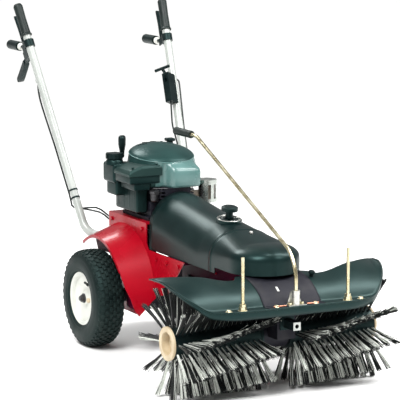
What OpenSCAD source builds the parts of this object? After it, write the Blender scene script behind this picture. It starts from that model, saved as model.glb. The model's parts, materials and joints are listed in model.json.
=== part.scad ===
// Walk-behind power brush: engine over one driven axle, swivelling brush head in front.
// Millimetres, Z up, front towards -Y, ground at Z = 0.

/* [Wheels] */
// outside diameter of a tyre
tyre_d = 330; // [280:5:400]
// width of a tyre
tyre_w = 105; // [80:5:130]
// diameter of the rim flange
rim_d = 178; // [150:1:220]
// distance between the tyre centres
track = 486; // [440:2:560]
// diameter of the axle
axle_d = 20; // [16:1:30]

/* [Brush] */
// diameter over the bristle tips
brush_d = 350; // [300:5:400]
// length over both brush halves
brush_w = 702; // [600:10:900]
// gap between the two halves
brush_gap = 108; // [100:2:140]
// outside diameter of the brush core
core_d = 100; // [80:2:130]
// wall of the brush core
core_wall = 6; // [3:0.5:10]
// diameter of the brush shaft
brush_shaft_d = 25; // [20:1:35]
// distance of the brush shaft ahead of the axle
brush_reach = 802; // [700:5:900]
// helical rows of tufts on each half
tuft_rows = 10; // [4:1:12]
// tufts in one row
tufts = 10; // [8:1:20]
// turn of a row from the middle of the brush to its end
row_turn = 30; // [0:2:120]

/* [Chassis] */
// thickness of the frame sheet
sheet = 4; // [3:0.5:6]
// width of the frame
deck_w = 250; // [220:2:300]
// height of the engine deck
deck_z = 435; // [400:5:480]
// deck behind the axle
deck_rear = 126; // [100:2:160]
// deck ahead of the axle
deck_front = 170; // [140:2:220]
// reach of the frame arms ahead of the axle
arm_reach = 451; // [400:5:520]
// inside radius of a fender
fender_r = 206; // [190:1:240]
// width of a fender
fender_w = 104; // [80:2:130]
// rise of a fender towards the frame
fender_rise = 36; // [0:2:50]

/* [Engine] */
// crankshaft axis ahead of the axle
engine_ahead = 30; // [0:5:80]
// diameter of the blower housing
housing_d = 236; // [200:2:280]
// diameter of the starter cover
starter_d = 196; // [160:2:220]
// top of the starter cover
engine_top = 690; // [640:5:740]
// diameter of the crankshaft
crank_d = 25; // [20:1:30]

/* [Belt drive] */
// height of the brush belt
belt_z = 398; // [390:1:405]
// height of a belt
belt_w = 8; // [6:0.5:8]
// thickness of a belt
belt_t = 9; // [6:1:10]
// pitch diameter of the engine pulley
engine_pulley_d = 90; // [70:2:110]
// pitch diameter of the brush pulley
brush_pulley_d = 150; // [120:2:170]
// pitch diameter of the traction pulleys
drive_pulley_d = 70; // [60:2:76]
// half width of the belt cover
cover_half = 116; // [100:1:130]
// wall of the belt cover
cover_wall = 3; // [2:0.5:5]
// top of the cover at the engine
cover_top_rear = 534; // [480:2:560]
// top of the cover at the knob
cover_top_mid = 490; // [450:2:520]
// top of the cover at the front
cover_top_front = 452; // [430:2:470]
// plane of the joint between the two covers, ahead of the axle
cover_joint = 620; // [560:5:680]

/* [Hood] */
// gap between bristle tips and hood
hood_gap = 8; // [6:1:20]
// sheet of the hood
hood_sheet = 3; // [2:0.5:6]
// width of the hood over its flared ends
hood_w = 780; // [660:10:960]
// height of the front shelf
shelf_z = 292; // [270:1:310]
// front edge of the shelf ahead of the brush shaft
shelf_front = 183; // [170:1:220]
// depth of the skirt below the shelf
skirt = 26; // [22:1:50]
// distance between the support rods
rod_spacing = 366; // [300:2:440]
// diameter of a support rod
rod_d = 10; // [8:1:14]
// top of a support rod
rod_top = 456; // [400:2:500]

/* [Swivel lever] */
// diameter of the lever rod
lever_d = 12; // [10:1:16]
// height of the lever grip
lever_grip_z = 735; // [700:5:800]
// length of the lever grip
lever_grip_l = 120; // [90:5:150]

/* [Handles] */
// diameter of a handle tube
handle_d = 28; // [24:1:34]
// wall of a handle tube
handle_wall = 2; // [1.5:0.5:4]
// backward lean of the handles
handle_lean = 28.2; // [15:0.1:40]
// outward splay of the handles
handle_splay = 5.8; // [0:0.1:12]
// length from the lower bend to the lever clamp
handle_l = 706; // [500:1:800]
// diameter of a grip
grip_d = 33; // [30:1:40]
// length of a grip
grip_l = 122; // [100:1:150]

/* [Hidden] */
$fn = 48;
// fits between the pieces
running = 0.05;
slip = 0.15;
air = 0.4;
// overall length is centred on the origin
hood_front = brush_reach + shelf_front;
stub_reach = 145;
handle_foot_y = 142;
handle_dir_x = cos(handle_lean) * sin(handle_splay);
handle_dir_y = sin(handle_lean);
handle_dir_z = cos(handle_lean) * cos(handle_splay);
lever_pivot_y = 34;
rear_reach = handle_foot_y + handle_l * handle_dir_y + lever_pivot_y * cos(handle_lean) + stub_reach;
axle_y = (hood_front - rear_reach) / 2;
axle_z = tyre_d / 2;
brush_y = axle_y - brush_reach;
brush_z = brush_d / 2;
crank_y = axle_y - engine_ahead;
plate_x = deck_w / 2;
inner_x = plate_x - sheet;
deck_front_y = axle_y - deck_front;
deck_rear_y = axle_y + deck_rear;
// worm gear of the brush head
tooth_m = 3;
wheel_teeth = 20;
worm_starts = 2;
wheel_r = tooth_m * wheel_teeth / 2;
worm_r = 18;
gear_centres = wheel_r + worm_r;
addendum = 2.4;
dedendum = 2.8;
worm_l = 46;
wheel_w = 16;
worm_lead = worm_starts * PI * tooth_m;
swivel_y = brush_y + gear_centres;
worm_shaft_d = 20;
neck_d = 64;
case_r = 46;
hub_flange = 7;
case_half = brush_gap / 2 - hub_flange - 2;
// hood radii about the brush shaft
hood_in = brush_d / 2 + hood_gap;
hood_out = hood_in + hood_sheet;
hood_top = brush_z + hood_out;
// head carrier
carrier_t = 12;
carrier_z = hood_top + 4;
carrier_top = carrier_z + carrier_t;
cross_z = 336;
beam_half = 50;
pulley_h = 22;
collar = 1;
shelf_y = brush_y - shelf_front;
// places of bolts through the side plates, behind (+) or ahead (-) of the axle, with height
arm_bolt = arm_reach - 36;
arm_bolt_gap = 85;
plate_bolts = [[100, 412], [-140, 412], [-200, 250], [2 * arm_bolt_gap - 5 - arm_bolt, 328],
    [arm_bolt_gap - arm_bolt, 328], [-arm_bolt, 328], [arm_bolt_gap - arm_bolt, 250]];
bolt_d = 8;
bolt_head = 14;
bolt_head_h = 6;
// places of bolts in the hood shelf
shelf_bolts = [-230, -68, 68, 230];
shelf_in = 17;
post_bolts = [-21, 21];
post_reach = 108;

// Shared shapes

// a flat outline in Y and Z made into a plate from x0 outwards
module plate_yz(x0, t) {
    translate([x0, 0, 0])
        rotate([90, 0, 90])
            linear_extrude(t)
                children();
}

// a flat outline in X and Z made into a block from y0 backwards
module block_xz(y0, t) {
    translate([0, y0 + t, 0])
        rotate([90, 0, 0])
            linear_extrude(t)
                children();
}

module along_x(d, x0, x1) {
    translate([x0, 0, 0])
        rotate([0, 90, 0])
            cylinder(d = d, h = x1 - x0);
}

module along_y(d, y0, y1) {
    translate([0, y0, 0])
        rotate([-90, 0, 0])
            cylinder(d = d, h = y1 - y0);
}

// a profile of radius and X swept about an axis along X, angle 180 is up, 270 is forwards
module sweep_x(from, turn) {
    rotate([0, 90, 0])
        rotate([0, 0, from])
            rotate_extrude(angle = turn)
                children();
}

function unit(v) = v / norm(v);

// a round bar or tube through points, with bends of one radius
module leg(a, b, d, hole) {
    run = b - a;
    tilt = acos(run.z / norm(run));
    heading = atan2(run.y, run.x);
    translate(a)
        rotate([0, tilt, heading])
            linear_extrude(norm(run))
                ring_outline(d, hole);
}

module ring_outline(d, hole) {
    difference() {
        circle(d = d);
        if (hole > 0) {
            circle(d = hole);
        }
    }
}

module bend(p, u, v, r, d, hole) {
    turn = acos(u * v);
    back = r * tan(turn / 2);
    mid = p + unit(v - u) * r / cos(turn / 2);
    e1 = unit(p - u * back - mid);
    e3 = cross(e1, u);
    multmatrix([[e1.x, u.x, e3.x, mid.x], [e1.y, u.y, e3.y, mid.y], [e1.z, u.z, e3.z, mid.z], [0, 0, 0, 1]])
        rotate_extrude(angle = turn)
            translate([r, 0])
                ring_outline(d, hole);
}

module bent_bar(a, p, b, r, d, hole) {
    u = unit(p - a);
    v = unit(b - p);
    back = r * tan(acos(u * v) / 2);
    // the bend is upset a little, and takes the ends of both legs into its wall
    leg(a, p - u * (back - 3), d, hole);
    bend(p, u, v, r, d + 1, hole - 1);
    leg(p + v * (back - 3), b, d, hole);
}

// a smooth cable through hand-placed points
function pass(p, i, t) =
    let (a = p[max(i - 1, 0)], b = p[i], c = p[i + 1], e = p[min(i + 2, len(p) - 1)])
    0.5 * (2 * b + (c - a) * t + (2 * a - 5 * b + 4 * c - e) * t * t + (3 * b - a - 3 * c + e) * t * t * t);
function cable_line(p, steps) = concat(
    [for (i = [0 : len(p) - 2]) for (k = [0 : steps - 1]) pass(p, i, k / steps)], [p[len(p) - 1]]);
function ahead(p, i) = unit(p[min(i + 1, len(p) - 1)] - p[max(i - 1, 0)]);

module cable(points, d, steps) {
    round_bar(cable_line(points, steps), d, 8, [0.3, 1, 0.1]);
}

module round_bar(line, d, sides, across) {
    n = len(line);
    ring = [for (i = [0 : n - 1])
        let (f = ahead(line, i), s = unit(cross(f, across)), u = cross(s, f))
        for (k = [0 : sides - 1]) line[i] + (s * cos(k * 360 / sides) + u * sin(k * 360 / sides)) * d / 2];
    walls = [for (i = [0 : n - 2]) for (k = [0 : sides - 1]) for (half = [0, 1])
        let (a = i * sides + k, b = i * sides + (k + 1) % sides)
        half == 0 ? [a, b, b + sides] : [a, b + sides, a + sides]];
    foot = [for (k = [1 : sides - 2]) [0, k + 1, k]];
    head = [for (k = [1 : sides - 2]) [(n - 1) * sides, (n - 1) * sides + k, (n - 1) * sides + k + 1]];
    polyhedron(points = ring, faces = concat(walls, foot, head), convexity = 6);
}

// a frame at the lever clamp of one handle, Z along the grip, Y towards the operator
module at_clamp(side) {
    translate(clamp_point(side))
        rotate([-handle_lean, side * handle_splay, 0])
            children();
}

handle_foot_x = 206;
handle_foot_z = 368;
function foot_point(side) = [side * handle_foot_x, axle_y + handle_foot_y, handle_foot_z];
function handle_dir(side) = [side * handle_dir_x, handle_dir_y, handle_dir_z];
function clamp_point(side) = foot_point(side) + handle_l * handle_dir(side);
handle_end_x = plate_x + 22;
handle_end_y = 24;
handle_end_z = 346;
function end_point(side) = [side * handle_end_x, axle_y + handle_end_y, handle_end_z];
grip_start = 30;
handle_bend = 70;

// Frame

module side_outline() {
    difference() {
        polygon([[deck_rear_y, deck_z - sheet], [deck_rear_y, 300], [axle_y + 70, 112], [axle_y - 90, 112],
            [axle_y - 130, 178], [axle_y - 228, 197], [axle_y - arm_reach + 78, 232], [axle_y - arm_reach + 81, 265],
            [axle_y - arm_reach, cross_z + carrier_t], [deck_front_y - 14, cross_z + carrier_t],
            [deck_front_y, 366], [deck_front_y, deck_z - sheet]]);
        translate([axle_y, axle_z])
            circle(d = hub_tube_d + 2 * slip);
        for (p = plate_bolts) {
            translate([axle_y + p.x, p.y])
                circle(d = bolt_d + 2 * slip);
        }
    }
}

hub_tube_d = 46;

module chassis_frame() color([0.62, 0.09, 0.07]) {
    difference() {
        translate([-plate_x, deck_front_y, deck_z - sheet])
            cube([deck_w, deck_front + deck_rear, sheet]);
        translate([0, crank_y, deck_z - 2 * sheet])
            cylinder(d = crank_boss_d + 2 * slip, h = 4 * sheet);
    }
    for (side = [-1, 1]) {
        plate_yz(side > 0 ? inner_x : -plate_x, sheet)
            side_outline();
    }
    // rear wall
    translate([-inner_x, deck_rear_y - sheet, 330])
        cube([2 * inner_x, sheet, deck_z - sheet - 330]);
}

crank_boss_d = 60;

module fender(side) color([0.64, 0.09, 0.07]) {
    x0 = side > 0 ? plate_x : -plate_x - fender_w;
    x1 = x0 + fender_w;
    foot = side > 0 ? plate_x : -plate_x - sheet;
    lip = side > 0 ? x1 - sheet : x0;
    difference() {
        translate([0, axle_y, axle_z])
            sweep_x(146, 134)
                union() {
                    polygon([[fender_r, side * (plate_x + fender_w)], [fender_r + sheet, side * (plate_x + fender_w)],
                        [fender_r + sheet + fender_rise, side * plate_x], [fender_r + fender_rise, side * plate_x]]);
                    translate([fender_r + fender_rise - 24, foot])
                        square([26, sheet]);
                    translate([fender_r - 6, lip])
                        square([8, sheet]);
                }
        // the outer edge runs in towards the frame on the way down to the front tip
        block_xz(axle_y - 260, 220)
            polygon([[side * (plate_x + fender_w + 20), 340], [side * (plate_x + fender_w + 20), 60],
                [side * (plate_x - 10), 60], [side * (plate_x - 10), 204], [side * (plate_x + 14), 182],
                [side * (plate_x + fender_w - 52), 134], [side * (plate_x + fender_w - 38), 152],
                [side * (plate_x + fender_w - 24), 195], [side * (plate_x + fender_w - 12), 226],
                [side * (plate_x + fender_w - 6), 256], [side * (plate_x + fender_w + 1), 322]]);
        // notch for the handle tube
        leg(end_point(side), foot_point(side), handle_d + 12, 0);
        translate([side * plate_x, axle_y, 0])
            for (p = plate_bolts) {
                translate([-side * 8, p.x, p.y])
                    rotate([0, side * 90, 0])
                        cylinder(d = bolt_head + 4, h = 20);
            }
    }
}

module right_fender() fender(-1);
module left_fender() fender(1);

module head_carrier() color([0.45, 0.06, 0.06]) {
    back = axle_y - arm_reach + 130;
    front = axle_y - arm_reach + 14;
    difference() {
        union() {
            // cross plate between the arms
            translate([-inner_x, front, cross_z])
                cube([2 * inner_x, back - front, carrier_t]);
            // riser and beam
            translate([-beam_half, front, cross_z + carrier_t])
                cube([2 * beam_half, back - front, carrier_top - cross_z - carrier_t]);
            translate([-beam_half, swivel_y, carrier_z])
                cube([2 * beam_half, front - swivel_y, carrier_t]);
            translate([0, swivel_y, carrier_z])
                cylinder(r = beam_half, h = carrier_t);
        }
        translate([0, swivel_y, carrier_z - 1])
            cylinder(d = neck_d + 2 * running, h = carrier_t + 2);
        translate([idler_pivot.x, idler_pivot.y, carrier_top - 14])
            cylinder(d = idler_pin_d, h = 20);
    }
    // pin of the idler arm
    translate([idler_pivot.x, idler_pivot.y, carrier_top - 14])
        cylinder(d = idler_pin_d, h = 14 + idler_t + 2 * collar + 2);
}

idler_t = 5;
idler_pin_d = 12;
idler_pivot = [26, axle_y - arm_reach + 99];
idler_at = idler_pivot - [50, 50];
idler_d = 50;
idler_z = carrier_top + collar;

module idler_arm() color([0.5, 0.5, 0.48]) {
    run = idler_at - idler_pivot;
    translate([idler_pivot.x, idler_pivot.y, idler_z])
        linear_extrude(idler_t)
            difference() {
                union() {
                    circle(d = 28);
                    translate([run.x, run.y])
                        circle(d = 22);
                    rotate([0, 0, atan2(run.y, run.x)])
                        translate([0, -9])
                            square([norm(run), 18]);
                }
                circle(d = idler_pin_d + 2 * running);
            }
    // stub that the pulley turns on
    translate([idler_at.x, idler_at.y, idler_z + 1])
        cylinder(d = idler_stub_d, h = idler_t + 23);
}

idler_stub_d = 10;

module idler_pulley() color([0.25, 0.25, 0.26]) {
    translate([idler_at.x, idler_at.y, idler_z + idler_t + air])
        difference() {
            cylinder(d = idler_d, h = 18);
            translate([0, 0, -1])
                cylinder(d = idler_stub_d + 2 * running, h = 20);
        }
}

module bolt_x(p, side) {
    translate([side * (plate_x - sheet - 2), axle_y + p.x, p.y])
        rotate([0, side * 90, 0])
            cylinder(d = bolt_d, h = sheet + 2);
    translate([side * plate_x, axle_y + p.x, p.y])
        rotate([0, side * 90, 0])
            cylinder(d = bolt_head, h = bolt_head_h, $fn = 6);
}

module chassis_bolts() color([0.72, 0.72, 0.7]) {
    for (side = [-1, 1]) {
        for (p = plate_bolts) {
            bolt_x(p, side);
        }
    }
}

// Running gear

case_top = 250;
drive_boss_top = 346;
drive_y = axle_y + 62;
drive_shaft_d = 20;

module transaxle_case() color([0.2, 0.2, 0.21]) {
    difference() {
        union() {
            translate([0, axle_y, axle_z])
                along_x(118, -70, 70);
            translate([-62, axle_y - 62, axle_z - 44])
                cube([124, 160, case_top - axle_z + 44]);
            translate([0, axle_y, axle_z])
                along_x(hub_tube_d, -plate_x - 12, plate_x + 12);
            for (side = [-1, 1]) {
                translate([0, axle_y, axle_z])
                    along_x(92, side > 0 ? inner_x - 8 : -inner_x, side > 0 ? inner_x : 8 - inner_x);
            }
            translate([0, drive_y, case_top - 1])
                cylinder(d = 44, h = drive_boss_top - case_top + 1);
        }
        translate([0, axle_y, axle_z])
            along_x(axle_d + 2 * running, -200, 200);
        translate([0, drive_y, case_top - 60])
            cylinder(d = drive_shaft_d + 2 * running, h = 300);
    }
}

drive_belt_z = belt_z - pulley_h;
drive_z = drive_belt_z - pulley_h / 2;

module vee_pulley(d, h) {
    rotate_extrude()
        polygon([[1, 0], [d / 2 + 6, 0], [d / 2 + 6, 2], [d / 2 - 7, h / 2 - 3.5], [d / 2 - 7, h / 2 + 3.5],
            [d / 2 + 6, h - 2], [d / 2 + 6, h], [1, h]]);
}

module drive_pulley() color([0.3, 0.3, 0.31]) {
    translate([0, drive_y, drive_z])
        vee_pulley(drive_pulley_d, pulley_h);
    translate([0, drive_y, case_top - 55])
        cylinder(d = drive_shaft_d, h = drive_z + pulley_h + 4 - case_top + 55);
    translate([0, drive_y, drive_boss_top + collar])
        cylinder(d = 40, h = drive_z - drive_boss_top);
}

module axle_shaft() color([0.6, 0.6, 0.6]) {
    half = track / 2 + 26;
    translate([0, axle_y, axle_z]) {
        along_x(axle_d, -half, half);
        for (side = [-1, 1]) {
            along_x(32, side > 0 ? half : -half - 12, side > 0 ? half + 12 : -half);
        }
    }
}

tyre_wall = 11;
function tyre_edge(r0, r1, half, grow) = [for (a = [-90 : 15 : 90])
    let (s = sin(a), c = cos(a))
    [r0 + (r1 - r0 + grow) * pow(c, 0.35), (half + grow) * sign(s) * pow(abs(s), 0.75)]];

module tyre(side) color([0.07, 0.07, 0.07]) {
    seat = rim_d / 2 - 10;
    bead = tyre_w / 2 - 12;
    flank = rim_d / 2 + 2.5;
    translate([side * track / 2, axle_y, axle_z])
        sweep_x(0, 360)
            difference() {
                polygon(concat([[seat, -bead], [flank, -bead]],
                    tyre_edge(rim_d / 2 + 6, tyre_d / 2, tyre_w / 2, 0), [[flank, bead], [seat, bead]]));
                polygon(concat([[seat - 2, 22 - bead]],
                    tyre_edge(rim_d / 2 + 18, tyre_d / 2, tyre_w / 2, -tyre_wall), [[seat - 2, bead - 22]]));
            }
}

module right_tyre() tyre(-1);
module left_tyre() tyre(1);

module rim(side) color([0.9, 0.89, 0.85]) {
    seat = rim_d / 2 - 10 - slip;
    w = tyre_w / 2 - 12;
    dish = 6;
    hub = plate_x + 13 + collar;
    translate([side * track / 2, axle_y, axle_z])
        sweep_x(0, 360)
            union() {
                translate([seat - 5, -w - 5])
                    square([5, 2 * w + 10]);
                for (edge = [-w - 5, w + slip]) {
                    translate([seat - 5, edge])
                        square([17, 5 - slip]);
                }
                // dished disc, on the outer side, and the hub
                translate([19, side > 0 ? w - 22 : -w + 22 - dish])
                    square([seat - 20, dish]);
                translate([axle_d / 2 + running, side > 0 ? hub - track / 2 : -26])
                    square([14, track / 2 + 26 - hub]);
            }
}

module right_rim() rim(-1);
module left_rim() rim(1);

// Handles

module cable_stop(side, up) {
    at_clamp(side)
        translate([0, handle_d / 2 - 3, up])
            difference() {
                translate([-6, 0, 0])
                    cube([12, 18, 14]);
                translate([0, 11, -1])
                    cylinder(d = cable_d + 2 * slip, h = 8);
                translate([0, 11, -1])
                    cylinder(d = 2.6, h = 20);
            }
}

cable_d = 6;
stop_up = -140;
stop_up_low = -190;

module handle_tube(side) color([0.88, 0.87, 0.83]) {
    bent_bar(end_point(side), foot_point(side), clamp_point(side) + (grip_start + grip_l - 6) * handle_dir(side),
        handle_bend, handle_d, handle_d - 2 * handle_wall);
    cable_stop(side, stop_up);
    if (side < 0) {
        cable_stop(side, stop_up_low);
    }
}

module right_handle_tube() handle_tube(-1);
module left_handle_tube() handle_tube(1);

module handle_clamps() color([0.1, 0.1, 0.1]) {
    for (side = [-1, 1]) {
        u = unit(foot_point(side) - end_point(side));
        difference() {
            translate([side > 0 ? plate_x : -plate_x - 46, axle_y + handle_end_y, handle_end_z - 20])
                cube([46, 30, 42]);
            leg(end_point(side) - 60 * u, end_point(side) + 90 * u, handle_d + 2 * slip, 0);
        }
    }
}

module handle_grips() color([0.06, 0.06, 0.06]) {
    for (side = [-1, 1]) {
        at_clamp(side)
            translate([0, 0, grip_start])
                rotate_extrude()
                    polygon([[handle_d / 2 + slip, 0], [grip_d / 2 + 3, 0], [grip_d / 2 + 3, 5], [grip_d / 2, 8],
                        [grip_d / 2 - 1, grip_l / 2], [grip_d / 2, grip_l - 8], [grip_d / 2 - 4, grip_l],
                        [0, grip_l], [0, grip_l - 6 + slip], [handle_d / 2 + slip, grip_l - 6 + slip]]);
    }
}

clamp_d = 38;
clamp_h = 26;
cheek = 5;
lever_w = 14;
pin_d = 8;
low_pivot = [42, -34];
blade_w = 20;

module clamp_ring(low) {
    difference() {
        union() {
            translate([0, 0, -clamp_h / 2])
                cylinder(d = clamp_d, h = clamp_h);
            for (x = [-lever_w / 2 - cheek - air, lever_w / 2 + air]) {
                translate([x, 0, -clamp_h / 2])
                    cube([cheek, lever_pivot_y + 10, clamp_h]);
                if (low < -clamp_h / 2) {
                    translate([x, 0, low])
                        cube([cheek, low_pivot.x + 9, 1 - clamp_h / 2 - low]);
                }
            }
        }
        translate([0, 0, low - 1])
            cylinder(d = handle_d + 2 * slip, h = 100);
        translate([-lever_w / 2 - air, handle_d / 2 + 5, low - 1])
            cube([lever_w + 2 * air, 60, 100]);
    }
    translate([0, lever_pivot_y, 0])
        along_x(pin_d, -lever_w / 2 - cheek - air, lever_w / 2 + cheek + air);
    if (low < -clamp_h / 2) {
        translate([0, low_pivot.x, low_pivot.y])
            along_x(pin_d, -lever_w / 2 - cheek - air, lever_w / 2 + cheek + air);
    }
}

module lever_clamps() color([0.08, 0.08, 0.08]) {
    at_clamp(-1)
        clamp_ring(-45);
    at_clamp(1)
        clamp_ring(-clamp_h / 2);
}

// bell crank: blade along the grip and a round stub towards the operator
module hand_lever(side) color([0.07, 0.07, 0.07]) {
    at_clamp(side)
        translate([0, lever_pivot_y, 0])
            difference() {
                union() {
                    along_x(20, -lever_w / 2, lever_w / 2);
                    plate_yz(-lever_w / 2, lever_w)
                        polygon([[-4, 4], [8, 4], [9, 30], [9, 70], [14, 124], [10, 127], [4, 72], [2, 30]]);
                    rotate([handle_lean, 0, 0]) {
                        along_y(12, 6, 60);
                        translate([0, 50, 0])
                            sphere(d = 22);
                        along_y(33, 58, stub_reach);
                    }
                }
                along_x(pin_d + 2 * running, -20, 20);
            }
}

module brush_lever() hand_lever(-1);
module drive_lever() hand_lever(1);

module reverse_lever() color([0.07, 0.07, 0.07]) {
    at_clamp(-1)
        translate([0, low_pivot.x, low_pivot.y])
            difference() {
                union() {
                    along_x(18, -lever_w / 2, lever_w / 2);
                    plate_yz(-lever_w / 2, lever_w)
                        polygon([[2, 9], [24, 5], [44, -1], [44, -17], [24, -12], [2, -9]]);
                    plate_yz(-blade_w / 2, blade_w)
                        polygon([[30, 3], [60, -5], [100, -16], [126, -22], [134, -27], [136, -34], [131, -40],
                            [122, -41], [100, -36], [60, -24], [30, -14]]);
                }
                along_x(pin_d + 2 * running, -20, 20);
            }
}

throttle_up = -150;
throttle_l = 110;
throttle_pin_d = 6;
throttle_w = 26;
throttle_bar = 60;
throttle_pivot = [36, throttle_up - 14];

// the throttle sits on the inner front of the left tube
throttle_turn = 120;

module at_throttle() {
    at_clamp(1)
        rotate([0, 0, throttle_turn])
            children();
}

module throttle_case() color([0.08, 0.08, 0.08]) {
    at_throttle() {
        difference() {
            translate([-throttle_w / 2, 4, throttle_up - throttle_l])
                cube([throttle_w, 46, throttle_l]);
            translate([0, 0, throttle_up - throttle_l - 1])
                cylinder(d = handle_d + 2 * slip, h = throttle_l + 2);
            // slot of the lever
            translate([-4 - air, 20, throttle_up - 34])
                cube([8 + 2 * air, 60, 60]);
            // seat of the cable
            translate([0, throttle_pivot.x, throttle_up - throttle_l - 1])
                cylinder(d = cable_d + 2 * slip, h = 13);
        }
        translate([0, throttle_pivot.x, throttle_pivot.y])
            along_x(throttle_pin_d, -throttle_w / 2 + 2, throttle_w / 2 - 2);
    }
}

module throttle_lever() color([0.06, 0.06, 0.06]) {
    at_throttle()
        translate([0, throttle_pivot.x, throttle_pivot.y]) {
            plate_yz(-4, 8)
                difference() {
                    union() {
                        circle(d = 18);
                        rotate([0, 0, 45])
                            translate([0, -4])
                                square([36, 8]);
                    }
                    circle(d = throttle_pin_d + 2 * running);
                }
            rotate([45, 0, 0])
                translate([0, 38, 0])
                    along_x(11, -throttle_bar / 2, throttle_bar / 2);
        }
}

// a point beside a handle tube: up along the tube, back and out from its axis
function beside(side, up, out, back) = clamp_point(side) + up * handle_dir(side)
    + out * [side * cos(handle_splay), 0, -sin(handle_splay)]
    + back * [-side * sin(handle_lean) * sin(handle_splay), cos(handle_lean), -sin(handle_lean) * cos(handle_splay)];

stop_back = handle_d / 2 + 8;
throttle_out = -throttle_pivot.x * sin(throttle_turn);
throttle_back = throttle_pivot.x * cos(throttle_turn);

module brush_cable() color([0.06, 0.06, 0.06])
    cable([beside(-1, stop_up + 2, 0, stop_back), beside(-1, stop_up - 30, 8, stop_back + 2),
        beside(-1, stop_up - 90, 14, 19), beside(-1, -380, 12, 16), beside(-1, -560, 12, 16),
        beside(-1, -610, 4, 26), [-150, deck_rear_y + 52, 440], [-112, deck_rear_y + 34, 412],
        [-100, deck_rear_y + 8, 396], [-100, deck_rear_y, 394]], cable_d, 3);

module reverse_cable() color([0.06, 0.06, 0.06])
    cable([beside(-1, stop_up_low + 2, 0, stop_back), beside(-1, stop_up_low - 40, 0, stop_back),
        beside(-1, -380, 3, 17.5), beside(-1, -560, 3, 17.5), beside(-1, -606, -6, 28),
        [-140, deck_rear_y + 46, 424], [-106, deck_rear_y + 30, 396], [-90, deck_rear_y + 8, 380],
        [-90, deck_rear_y, 378]], cable_d, 3);

module drive_cable() color([0.06, 0.06, 0.06])
    cable([beside(1, stop_up + 2, 0, stop_back), beside(1, stop_up - 8, 6, stop_back + 1),
        beside(1, stop_up - 20, 25, 10), beside(1, -200, 25, 4), beside(1, -380, 17.5, 2), beside(1, -560, 17.5, 2),
        beside(1, -610, 12, 20), [150, deck_rear_y + 52, 436], [112, deck_rear_y + 34, 408],
        [100, deck_rear_y + 8, 392], [100, deck_rear_y, 390]], cable_d, 3);

module throttle_cable() color([0.06, 0.06, 0.06])
    cable([beside(1, throttle_up - throttle_l + 11, throttle_out, throttle_back),
        beside(1, throttle_up - throttle_l + 4, throttle_out, throttle_back),
        beside(1, throttle_up - throttle_l - 4, throttle_out, throttle_back),
        beside(1, throttle_up - throttle_l - 40, throttle_out + 2, throttle_back + 10),
        beside(1, throttle_up - throttle_l - 80, -22, 10), beside(1, -400, -9, 18.5), beside(1, -520, 0, 18.5),
        beside(1, -585, -14, 30), [150, deck_rear_y + 60, 478], [108, deck_rear_y + 24, 490],
        [84, crank_y + 112, 484], [80, crank_y + block_back, 482]], cable_d, 3);

// Engine

base_z = deck_z;
block_top = 556;
block_half = 84;
block_back = 92;
block_front = 104;
body_d = 172;
base_t = 12;
fin_half = 62;
head_top = base_z + 110;

module engine_block() color([0.13, 0.14, 0.16]) {
    difference() {
        union() {
            translate([-100, crank_y - 104, base_z])
                cube([200, 200, base_t]);
            translate([-block_half, crank_y - 92, base_z])
                cube([2 * block_half, 92 + block_back, 60]);
            translate([0, crank_y, base_z])
                cylinder(d = body_d, h = block_top - base_z);
            // cylinder with cooling fins towards the front
            translate([-46, crank_y - 128, base_z + 34])
                cube([92, 80, head_top - base_z - 34]);
            for (k = [0 : 5]) {
                translate([-fin_half, crank_y - 124, base_z + 38 + k * 12])
                    cube([2 * fin_half, 60, 4]);
            }
            // boss through the deck
            translate([0, crank_y, base_z - sheet - 6])
                cylinder(d = crank_boss_d, h = sheet + 7);
        }
        translate([0, crank_y, base_z - 30])
            cylinder(d = crank_d + 2 * running, h = 200);
    }
}

housing_z = block_top;
housing_top = 612;

module blower_housing() color([0.42, 0.45, 0.44]) {
    difference() {
        union() {
            translate([0, crank_y, housing_z])
                cylinder(d = housing_d, h = housing_top - housing_z);
            // cowl over the cylinder
            translate([-36, crank_y - 138, head_top + slip])
                cube([124, 90, housing_z + 50 - head_top - slip]);
            translate([0, crank_y, housing_top])
                cylinder(d1 = housing_d - 8, d2 = starter_d + 14, h = 12);
        }
        translate([0, crank_y, housing_z + 3])
            cylinder(d = housing_d - 8, h = housing_top - housing_z - 6);
        translate([0, crank_y, housing_z - 20])
            cylinder(d = 140, h = 60);
        translate([0, crank_y, housing_z - 20])
            cylinder(d = body_d + 2, h = 20);
        translate([-32, crank_y - 134, housing_z - 20])
            cube([116, 90, 66]);
        translate([0, crank_y, housing_top - 10])
            cylinder(d = starter_d - 12, h = 40);
        // seats of the tank and of the air cleaner
        translate([-200, crank_y + tank_front - slip, housing_z - 30])
            cube([200 - tank_in + slip, 200, 140]);
        translate([-200, crank_y - 150, housing_z - 30])
            cube([200 - tank_in + slip, 200, 140]);
        translate([-200, crank_y - 150, housing_z - 30])
            cube([200 - cleaner_in + slip, 150 - cleaner_depth + slip, 140]);
    }
    // ear that guides the starter rope
    difference() {
        translate([grip_at.x - 8, crank_y + grip_at.y - 9, housing_top + 4])
            cube([52, 18, 7]);
        translate([grip_at.x, crank_y + grip_at.y, housing_top])
            cylinder(d = rope_d + 2 * slip, h = 40);
        translate([0, crank_y, housing_top])
            cylinder(d = starter_d + 14, h = 40);
    }
}

tank_in = 92;
tank_front = 24;
grip_at = [-104, 92];
tank_out = 166;
tank_top = 616;
cap_at = [-148, 58];
cap_z = 630;
cleaner_out = 168;
cleaner_front = 104;
cleaner_in = 44;
cleaner_depth = 80;
cleaner_top = 623;

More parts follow.
